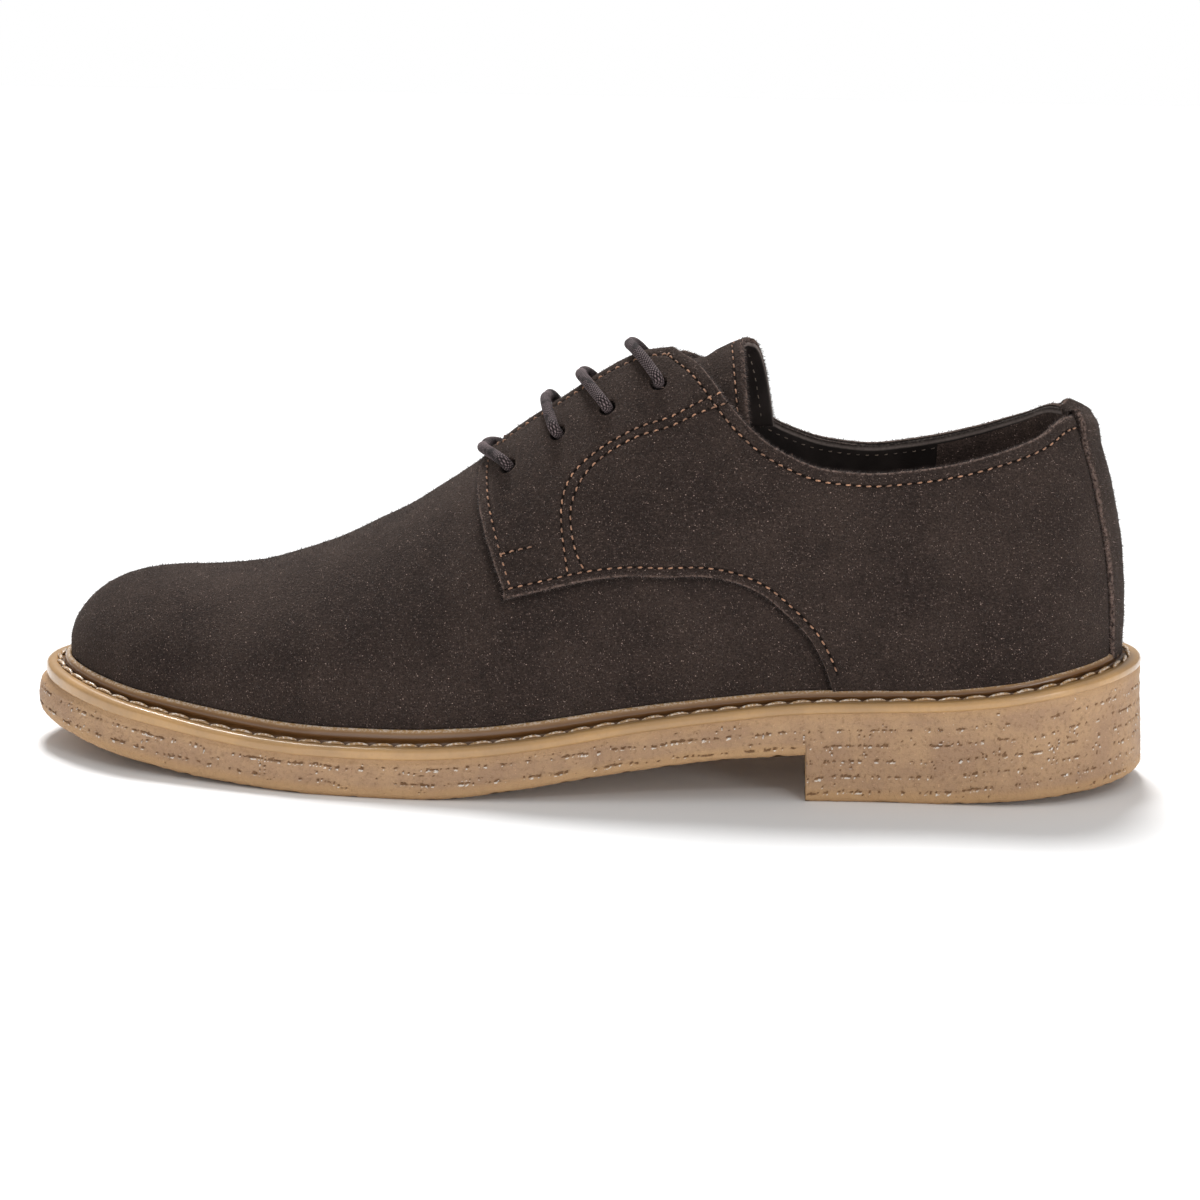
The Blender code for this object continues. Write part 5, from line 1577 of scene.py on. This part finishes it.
def make_welt():
    """The smooth strip with its lip, and the moulded stitches in its groove."""
    sizes, colours = settings()
    gum = gum_finish("honey_gum", colours.gum, 0.26)
    walks, sides, runs = sole_loop(0.9 * MM)
    stations = Sections(walks, -1).station
    base = feather_height(stations) + GAP
    top = base + WELT_THICKNESS + strip_shift(stations)
    hang = (top - feather_height(stations)) / MM + strip_foot(stations)
    rings, deep = [], []
    wave = np.array([noise.noise((r / 0.011, 3.0, 1.0)) for r in runs]) * 0.22
    wave += np.array([noise.noise((r / 0.004, 9.0, 1.0)) for r in runs]) * 0.10
    glints = []
    short = np.clip((stations - 0.20) / 0.30, 0.0, 1.0)
    for level, stand in LIP_SECTION:
        def lip(walk, side, height, shake, stand=stand):
            rise = rand_rise(walk, side, np.maximum(height, 0.0))
            points = last_points(np.minimum(walk, 2.999), rise, side)
            flat = outline_points(walk, side, 0 * walk + 1.0, 0.0)
            out = flat - outline_points(walk, side, 0 * walk, 0.0)
            points = points + out * ((stand + 0.3 + shake * 0.4) * MM)[:, None]
            points[:, 2] = feather_height(Sections(walk, side).station) + height
            return points
        height = (2.0 + (level - 2.0) * (0.74 + 0.26 * short)) * MM
        height = height + wave * 0.4 * MM * (level > 4.0)
        height = height + np.maximum(strip_shift(stations), 0.0) * (stations < 0.5)
        rings.append(by_side(lip, walks, sides, height, wave))
        # Painted shade darkening the lip towards the groove, and painted highlights along its top
        deep.append(np.full(len(walks), np.interp(level, [2.0, 3.8, 4.5, 5.0, 5.25],
                                                  [1.0, 1.0, 0.70, 0.28, 0.0])))
        glints.append(np.full(len(walks), np.interp(level, [4.5, 5.02, 5.25, 5.3],
                                                    [0.0, 0.45, 1.0, 0.8])))
    for share, drop in WELT_SECTION:
        if drop > 1.9 and share > 0.6:
            drop = 1.9 + (drop - 1.9) * (hang - 1.9) / (5.62 - 1.9)
        outward = WELT_WIDTH * share + wave * 0.12 * MM * (share > 0.9)
        points = by_side(outline_points, walks, sides, outward, top - drop * MM)
        rings.append(points)
        # Painted shade on the groove floor, fading out over the stitches' line and the strip
        depth = np.interp(share, [0.27, 0.33, 0.42, 0.52, 0.58], [1.0, 0.95, 0.60, 0.38, 0.0])
        deep.append(np.full(len(walks), depth))
        glints.append(np.zeros(len(walks)))
    points = np.stack(rings)
    ends = (walks < 1e-6) | (walks > 3 - 1e-6)
    middle = (RIDGE(stations) * BALL_WIDTH)[ends]
    points[:, ends, 1] = middle[None]
    outward = unit(by_side(outline_points, walks, sides, 0 * walks + 1.0, 0 * walks)
                   - by_side(outline_points, walks, sides, 0 * walks, 0 * walks))
    normals = np.broadcast_to(outward, points.shape) + np.array([0.0, 0.0, 0.4])
    obj = grid_piece("smooth_welt", [{
        "points": points, "normals": normals, "closed": True,
        "marks": {"deep": np.stack(deep), "glint": np.stack(glints)}}], gum)
    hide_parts("welt")

    random = np.random.default_rng(11)
    line = by_side(outline_points, walks, sides, 0 * walks + WELT_WIDTH * 0.515,
                   top - 1.50 * MM)
    line[ends, 1] = middle
    line = np.concatenate([line, line[:1]])
    marks_at = resample(line, sizes.welt_pitch)
    points, faces, deep, glints = [], [], [], []
    turns, count = 12, 15
    angle = np.arange(turns) * 2 * math.pi / turns
    for a, b in zip(marks_at, marks_at[1:]):
        along = unit(b - a)
        out = unit(np.cross([0.0, 0.0, 1.0], along))
        outward = out * (1 if out @ (a - [0.0, 0.0, a[2]]) > 0 else -1)
        along = unit(along + outward * (0.10 + random.normal(0, 0.02)))
        across = np.cross([0.0, 0.0, 1.0], along)
        middle_point = (a + b) / 2
        for k in range(count):
            t = k / (count - 1) * 2 - 1
            swell = math.sqrt(max(1 - abs(t) ** 2.6, 0.0)) * 0.98 + 0.02
            arch = 0.34 * MM * (1 - t * t)
            centre = middle_point + along * t * sizes.welt_pitch * 0.475
            centre = centre + across * 0.10 * MM * math.sin(t * 3.0)
            for turn in angle:
                ripple = 1 + 0.10 * math.sin(t * 17 + turn * 2)
                points.append(centre + across * math.cos(turn) * 0.58 * MM * swell * ripple
                              + np.array([0, 0, 1.0]) * (math.sin(turn) * 0.50 * MM * swell
                                                         * ripple + arch))
                # Painted shade under each moulded stitch and a painted highlight along its top
                deep.append(0.34 if math.sin(turn) < 0.1 else 0.06)
                glints.append(1.0 if math.sin(turn) > 0.3 and abs(t) < 0.9 else 0.0)
        start = len(points) - turns * count
        faces.append(grid_indices(count, turns, closed=True) + start)
    obj = make_piece("welt_stitches", np.array(points), np.concatenate(faces),
                     {"deep": deep, "glint": glints}, gum)


def flat_noise(across, down, wide, tall, seed):
    """Smooth random values from -1 to 1 over two numbers, in cells of wide by tall."""
    values = [noise.noise((u / wide, v / tall, seed))
              for u, v in zip(across.ravel(), down.ravel())]
    return np.array(values).reshape(across.shape)


def crepe_marks(run, drop, height, first, foot, sizes):
    """Cracks and raised beads of the crepe side, for places in millimetres."""
    pitch = sizes.crack_rows / MM
    ragged = flat_noise(run, drop, 0.8, 0.6, 2.0)
    level = drop - first - flat_noise(run, drop, 11.0, 60.0, 5.0) * 0.9
    row = np.maximum(np.round(level / pitch), 0)
    gap = level - row * pitch
    dash = flat_noise(run, row * 7.3, 1.0, 1.0, 0.5)
    small = flat_noise(run, row * 3.7, 0.55, 1.0, 8.5)
    cluster = flat_noise(run, row * 5.1, 9.0, 1.0, 4.5)
    strength = np.clip((dash + 0.7 * small + 0.45 * cluster + 0.03) / 0.25, 0.0, 1.0)
    crack = strength * np.exp(-(np.abs(gap + 0.42 * ragged) / (0.25 + 0.13 * ragged)) ** 2)
    bead = strength * np.exp(-((gap - 0.50 + 0.42 * ragged) / 0.21) ** 2) * np.clip(
        small * 3 + 0.5, 0, 1)
    pit = flat_noise(run, drop, 0.75, 0.6, 12.0)
    below = flat_noise(run, drop - 0.45, 0.75, 0.6, 12.0)
    some = np.clip(flat_noise(run, drop, 7.0, 3.0, 1.0) * 3, 0, 1)
    crack = np.maximum(crack, np.clip((pit - 0.34) / 0.15, 0, 1) * some * 0.9)
    bead = np.maximum(bead, np.clip((below - 0.38) / 0.12, 0, 1) * some * 0.9)
    fade = np.clip((height - drop) / 0.8, 0, 1) * np.clip((drop - foot - 0.4) / 0.8, 0, 1)
    return crack * fade, bead * fade


def make_outsole():
    """The crepe sole: a cracked side, the heel's front face and a ribbed tread."""
    sizes, colours = settings()
    crepe = crepe_finish("crepe_rubber", colours.crepe)
    walks, sides, runs = sole_loop(0.46 * MM)
    walks, sides = np.append(walks, walks[0]), np.append(sides, sides[0])
    runs = np.append(runs, 2 * runs[-1] - runs[-2])
    lean = BREAST_RUN / LENGTH
    stations = Sections(walks, -1).station
    top = feather_height(stations)
    low = tread_height(edge_station(walks, stations))
    rows = 56
    share = np.concatenate([[0.0, 0.03], np.linspace(0.06, 1.0, rows - 2)])
    height = (top - low - SOLE_EDGE) / MM
    foot = strip_foot(stations)[None]
    drop = share[:, None] * (height[None] + 1.0) - 1.0
    flare = np.interp(share, [0.0, 0.16, 0.55, 1.0],
                      [WELT_WIDTH, WELT_WIDTH, WELT_WIDTH + SOLE_FLARE * 0.5,
                       WELT_WIDTH + SOLE_FLARE])
    cover = np.interp(drop - foot, [-2.0, 0.0, 0.9, 2.2], np.array([6.2, 6.7, 7.1, 9.4]) * MM)
    toe = np.clip((stations - 0.90) / 0.09, 0.0, 1.0) ** 1.3
    bulge = toe[None] * np.sin(math.pi * share)[:, None] ** 0.6 * 1.9 * MM
    bulge = bulge * np.clip((drop - foot) / 1.5, 0.0, 1.0)
    outward = np.minimum(flare[:, None], cover) + bulge
    run = np.broadcast_to(runs / MM, drop.shape)
    first = np.interp(stations, [0.30, 0.52], [4.0, 3.3])[None]
    crack, bead = crepe_marks(run, drop, height[None] + 0 * drop, first, foot, sizes)
    flat = np.stack([run, drop, 0 * drop], -1) * MM
    grain = 0.14 * rough(flat, 2.2, 4.0) + 0.09 * rough(flat, 0.9, 7.0)
    grain += 0.22 * rough(flat * np.array([1.0, 0.25, 1.0]), 7.0, 2.0)
    behind = np.clip((0.10 - stations) / 0.06, 0.0, 1.0)[None]
    grain += behind * 0.12 * rough(flat * np.array([1.0, 0.3, 1.0]), 0.9, 9.0)
    grain *= np.clip(drop - foot, 0.0, 1.0)
    shift = grain - crack * sizes.crack_depth / MM + bead * 0.15
    rings = [by_side(outline_points, walks, sides, out + bump * MM, top - fall * MM)
             for out, bump, fall in zip(outward, shift, drop)]
    left = height[None] - drop
    edge_mark = list(np.clip((2.6 - left) / 1.6, 0, 1) * 0.9
                     + np.clip((foot + 2.4 - drop) / 1.6, 0, 1) * 0.5)
    jag = (flat_noise(runs / MM, 0 * runs, 2.6, 1.0, 6.0)
           + flat_noise(runs / MM, 0 * runs, 7.0, 1.0, 3.0) * 0.8)
    for inset, lift in ((0.25, 0.70), (0.60, 0.30), (1.20, 0.0)):
        out = np.full(len(walks), WELT_WIDTH + SOLE_FLARE - inset * MM) + jag * MM * 0.5
        rings.append(by_side(outline_points, walks, sides, out,
                             low + np.maximum(lift + jag * 0.6, 0.0) * MM))
        edge_mark.append(np.full(len(walks), 1.0))
    points = np.stack(rings)
    ends = (walks < 1e-6) | (walks > 3 - 1e-6)
    points[:, ends, 1] = (RIDGE(stations) * BALL_WIDTH)[ends][None]
    points[:, -1] = points[:, 0]
    zeros = np.zeros((3, len(walks)))
    outward_way = unit(points[len(share) // 2] - points.mean(axis=(0, 1)))
    outward_way[:, 2] = 0
    obj = grid_piece("crepe_side", [{
        "points": points, "normals": np.broadcast_to(outward_way, points.shape),
        "marks": {"crack": np.concatenate([crack, zeros]),
                  "bead": np.concatenate([bead, zeros]), "edge": np.stack(edge_mark)}}],
        crepe, WELD / 2)
    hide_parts("outsole")

    breast = HEEL_BREAST / LENGTH
    under = np.linspace(0.0, 3.0, 330)
    heel_side = under[Sections(under, 1).station < breast - 0.0005]
    waist_side = under[Sections(under, 1).station > breast + lean + 0.0005]
    face = np.full(12, walk_at(breast))
    face_lean = np.linspace(0.0, 1.0, 12)
    columns = np.concatenate([heel_side, face + face_lean * lean / (TOE_CENTRE - HEEL_CENTRE),
                              waist_side])
    floor = tread_height(edge_station(columns, Sections(columns, 1).station))
    waist_low = WAIST_LIFT * TREAD_WAIST(breast + lean)
    floor[len(heel_side):len(heel_side) + 12] = waist_low * face_lean
    foot = WELT_WIDTH + SOLE_FLARE - SOLE_EDGE
    outer = outline_points(columns, -1, foot + 0 * columns, floor)
    inner = outline_points(columns, 1, foot + 0 * columns, floor)
    across = np.linspace(0.0, 1.0, 64)
    points = outer[None] + (inner - outer)[None] * across[:, None, None]
    near = np.abs(Sections(columns, 1).station - breast) < 0.003
    bow = np.where(near, BREAST_HOLLOW, 0.0)
    points[..., 0] += bow[None] * (1 - (2 * across - 1) ** 2)[:, None]
    rib = 0.5 + 0.5 * np.sin(points[..., 0] / MM * 2 * math.pi / 2.6
                             + 2.2 * rough(points, 22.0) + 0.8 * rough(points, 5.0))
    inward = np.minimum(across, 1 - across)[:, None] * 100
    tread = np.clip(inward / 6, 0, 1) * 0.55 * rib ** 2
    flat_part = ~near[None] & np.ones_like(rib, bool)
    points[..., 2] += np.where(flat_part, tread, 0.0) * MM
    points[..., 0] += np.where(near[None], 0.25 * rough(points, 2.0) + 0.15 * rough(points, 0.9),
                               0.0) * MM
    obj = grid_piece("crepe_tread", [{
        "points": points, "normals": np.broadcast_to([-0.2, 0.0, -1.0], points.shape),
        "marks": {"crack": np.where(flat_part, tread * 0.8, 0.0), "bead": rib * 0,
                  "edge": rib * 0}}], crepe)
    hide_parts("outsole")


def make_insole():
    """The sock over the footbed, a little dished, in lining leather."""
    colours = settings()[1]
    leather = shared(lining_finish, "lining_leather", colours.lining)
    columns = np.linspace(0.0, 3.0, 130)
    inset = UPPER_WALL + GAP * 2
    height = feather_height(Sections(columns, 1).station) + GAP + INSOLE_THICKNESS
    outer = outline_points(columns, -1, 0 * columns - inset, height)
    inner = outline_points(columns, 1, 0 * columns - inset, height)
    across = np.linspace(0.0, 1.0, 34)
    points = outer[None] + (inner - outer)[None] * across[:, None, None]
    bowl = (2 * across - 1) ** 2
    points[..., 2] += ((bowl[:, None] * 1.2 - 0.9) + 0.25 * rough(points, 20.0)) * MM
    edge = np.zeros(points.shape[:2])
    obj = grid_piece("sock_insole", [{
        "points": points, "normals": np.broadcast_to([0.0, 0.0, 1.0], points.shape),
        "marks": {"seam": edge, "edge": edge}}], leather)
    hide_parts("insole")


def make_nap():
    """Loose suede fibres as thin slivers, leaning with the brushing."""
    sizes, colours = settings()
    if not sizes.nap_count:
        return
    random = np.random.default_rng(7)
    centres, normals, areas = [], [], []
    for name in ("quarters", "vamp", "tongue_suede", "backstay_suede"):
        mesh = bpy.data.objects[name].data
        count = len(mesh.polygons)
        place, way, size = np.empty(count * 3), np.empty(count * 3), np.empty(count)
        mesh.polygons.foreach_get("center", place)
        mesh.polygons.foreach_get("normal", way)
        mesh.polygons.foreach_get("area", size)
        start, corner = np.empty(count, int), np.empty(len(mesh.loops), int)
        edge = np.empty(len(mesh.vertices))
        mesh.polygons.foreach_get("loop_start", start)
        mesh.loops.foreach_get("vertex_index", corner)
        mesh.attributes["edge"].data.foreach_get("value", edge)
        centres.append(place.reshape(-1, 3))
        normals.append(way.reshape(-1, 3))
        areas.append(size * (1.0 + 7.0 * np.clip(edge[corner[start]], 0.0, 1.0)))
    centres, normals = np.concatenate(centres), np.concatenate(normals)
    areas = np.concatenate(areas)
    chosen = random.choice(len(areas), sizes.nap_count, p=areas / areas.sum())
    jitter = random.normal(0.0, 0.4 * MM, (sizes.nap_count, 3))
    up = normals[chosen]
    jitter -= up * (jitter * up).sum(-1, keepdims=True)
    root = centres[chosen] + jitter - up * 0.05 * MM
    brushed = np.array([0.55, 0.0, -0.35]) + random.normal(0.0, 0.55, (sizes.nap_count, 3))
    way = unit(up * random.uniform(0.3, 1.4, (sizes.nap_count, 1)) + brushed * 0.7)
    size = sizes.nap_length * random.uniform(0.5, 1.3, (sizes.nap_count, 1))
    across = unit(np.cross(way, up + random.normal(0, 0.3, up.shape))) * 0.055 * MM
    tip = root + way * size
    points = np.stack([root - across, root + across, tip], 1).reshape(-1, 3)
    faces = np.arange(len(points)).reshape(-1, 3)
    pale = np.repeat(random.uniform(0.0, 1.0, sizes.nap_count), 3)
    finish = nap_finish("loose_nap", colours.suede)
    obj = make_piece("suede_nap", points, faces, {"pale": pale}, finish)


def put_light(kind, name, way, **settings):
    """A light of a kind that shines along a way, with its settings."""
    light = bpy.data.lights.new(name, kind)
    for key, value in settings.items():
        setattr(light, key, value)
    obj = bpy.data.objects.new(name, light)
    obj.rotation_euler = Vector(way).to_track_quat("-Z", "Y").to_euler()
    bpy.context.scene.collection.objects.link(obj)
    return obj


def area_light(name, place, target, size, power):
    obj = put_light("AREA", name, Vector(target) - Vector(place), shape="DISK", size=size,
                    energy=power)
    obj.location = place


# Light of the room: height of the direction, from 0 at the bottom to 1 overhead, and brightness
ROOM_LIGHT = [(0.05, 1.0), (0.09, 0.20), (0.90, 0.62)]

# Camera: turn from the side, height and roll in degrees, distance and aim in metres, and lens
# and sensor in millimetres
AZIMUTH, ELEVATION, ROLL = 5.0, 11.3, 1.0
DISTANCE, AIM = 0.700, (0.0041, 0.0, 0.0432)
SENSOR, LENS = 36.0, 2576 / 1200 * 36.0


def make_stage():
    """A pale floor, soft studio light and the camera at the photograph's angle."""
    scene = bpy.context.scene
    scene.view_settings.view_transform = "Standard"
    finish = Finish("pale_floor", {"Specular IOR Level": 0.1})
    tint = finish.mixed(finish.noise(180.0, 2.0), (0.92, 0.92, 0.92), (0.935, 0.935, 0.935))
    floor_material = finish.show(tint, 0.85)
    ring = [(40.0 * math.cos(t), 40.0 * math.sin(t), 0.0)
            for t in np.linspace(0, 2 * math.pi, 97)[:-1]]
    mesh = bpy.data.meshes.new("floor")
    mesh.from_pydata(ring, [], [list(range(96))])
    mesh.materials.append(floor_material)
    floor = bpy.data.objects.new("floor", mesh)
    scene.collection.objects.link(floor)

    world = bpy.data.worlds.new("soft_room")
    world.use_nodes = True
    room = Nodes(world.node_tree)
    way = room.add("ShaderNodeTexCoord", output="Generated")
    height = room.add("ShaderNodeSeparateXYZ", {}, {0: way}, output="Z")
    stops = [(place, (light, light, light)) for place, light in ROOM_LIGHT]
    light = room.add("ShaderNodeValToRGB", {"stops": stops}, {0: height})
    room.feed(room.tree.nodes["Background"].inputs["Color"], light)
    scene.world = world
    put_light("SUN", "sun", (0.16, -0.56, -1.0), energy=3.5, angle=math.radians(18))
    area_light("front", (-0.25, -1.25, 0.22), (0.0, 0.0, 0.05), 0.8, 1.9)
    area_light("glint", (0.45, -0.90, 0.85), (0.05, 0.0, 0.02), 0.14, 1.2)
    area_light("heel_side", (0.85, -0.85, 0.20), (0.12, 0.0, 0.02), 0.5, 3.0)

    camera = bpy.data.cameras.new("camera")
    camera.sensor_width, camera.lens = SENSOR, LENS
    camera.clip_start = 0.05
    obj = bpy.data.objects.new("camera", camera)
    azimuth, elevation = math.radians(AZIMUTH), math.radians(ELEVATION)
    back = Vector((math.sin(azimuth) * math.cos(elevation),
                   -math.cos(azimuth) * math.cos(elevation), math.sin(elevation)))
    turn = back.to_track_quat("Z", "Y").to_matrix().to_4x4()
    roll = Matrix.Rotation(math.radians(ROLL), 4, "Z")
    obj.matrix_world = Matrix.Translation(Vector(AIM) + back * DISTANCE) @ (turn @ roll)
    scene.collection.objects.link(obj)
    scene.camera = obj


# Operators, panel and registration


class SHOE_OT_stage(bpy.types.Operator):
    """Make the floor, the lights and the camera"""

    bl_idname = "shoe.stage"
    bl_label = "Stage"

    def execute(self, context):
        make_stage()
        return {"FINISHED"}


class SHOE_OT_upper(bpy.types.Operator):
    """Make the vamp and the quarters in suede"""

    bl_idname = "shoe.upper"
    bl_label = "Upper"

    def execute(self, context):
        make_upper()
        return {"FINISHED"}


class SHOE_OT_lining(bpy.types.Operator):
    """Make the lining and the heel grip"""

    bl_idname = "shoe.lining"
    bl_label = "Lining"

    def execute(self, context):
        make_lining()
        return {"FINISHED"}


class SHOE_OT_seams(bpy.types.Operator):
    """Make the stitches of the upper and the painted shade discs at its needle holes"""

    bl_idname = "shoe.seams"
    bl_label = "Seams"

    def execute(self, context):
        make_seams()
        return {"FINISHED"}


class SHOE_OT_tongue(bpy.types.Operator):
    """Make the tongue with its lining and stitches"""

    bl_idname = "shoe.tongue"
    bl_label = "Tongue"

    def execute(self, context):
        make_tongue()
        return {"FINISHED"}


class SHOE_OT_backstay(bpy.types.Operator):
    """Make the strip up the back seam"""

    bl_idname = "shoe.backstay"
    bl_label = "Backstay"

    def execute(self, context):
        make_backstay()
        return {"FINISHED"}


class SHOE_OT_laces(bpy.types.Operator):
    """Make the braided lace"""

    bl_idname = "shoe.laces"
    bl_label = "Laces"

    def execute(self, context):
        make_laces()
        return {"FINISHED"}


class SHOE_OT_welt(bpy.types.Operator):
    """Make the smooth welt with its moulded stitches"""

    bl_idname = "shoe.welt"
    bl_label = "Welt"

    def execute(self, context):
        make_welt()
        return {"FINISHED"}


class SHOE_OT_outsole(bpy.types.Operator):
    """Make the crepe sole"""

    bl_idname = "shoe.outsole"
    bl_label = "Outsole"

    def execute(self, context):
        make_outsole()
        return {"FINISHED"}


class SHOE_OT_insole(bpy.types.Operator):
    """Make the insole"""

    bl_idname = "shoe.insole"
    bl_label = "Insole"

    def execute(self, context):
        make_insole()
        return {"FINISHED"}


class SHOE_OT_nap(bpy.types.Operator):
    """Make the loose fibres of the suede"""

    bl_idname = "shoe.nap"
    bl_label = "Nap"

    def execute(self, context):
        make_nap()
        return {"FINISHED"}


STEPS = ("stage", "upper", "lining", "seams", "tongue", "backstay", "laces", "welt",
         "outsole", "insole", "nap")


class SHOE_PT_panel(bpy.types.Panel):
    """The shoe's pieces, sizes and colours"""

    bl_idname = "SHOE_PT_panel"
    bl_label = "Shoe"
    bl_space_type = "VIEW_3D"
    bl_region_type = "UI"
    bl_category = "Shoe"

    def draw(self, context):
        for group in (context.scene.shoe_sizes, context.scene.shoe_colours):
            for name in group.__annotations__:
                self.layout.prop(group, name)
        for step in STEPS:
            self.layout.operator("shoe." + step)


CLASSES = (ShoeSizes, ShoeColours, SHOE_OT_stage, SHOE_OT_upper, SHOE_OT_lining,
           SHOE_OT_seams, SHOE_OT_tongue, SHOE_OT_backstay, SHOE_OT_laces, SHOE_OT_welt,
           SHOE_OT_outsole, SHOE_OT_insole, SHOE_OT_nap, SHOE_PT_panel)


def register():
    for cls in CLASSES:
        bpy.utils.register_class(cls)
    bpy.types.Scene.shoe_sizes = bpy.props.PointerProperty(type=ShoeSizes)
    bpy.types.Scene.shoe_colours = bpy.props.PointerProperty(type=ShoeColours)


def unregister():
    del bpy.types.Scene.shoe_colours
    del bpy.types.Scene.shoe_sizes
    for cls in reversed(CLASSES):
        bpy.utils.unregister_class(cls)


def main():
    register()
    for step in STEPS:
        getattr(bpy.ops.shoe, step)()


if __name__ == "__main__":
    main()
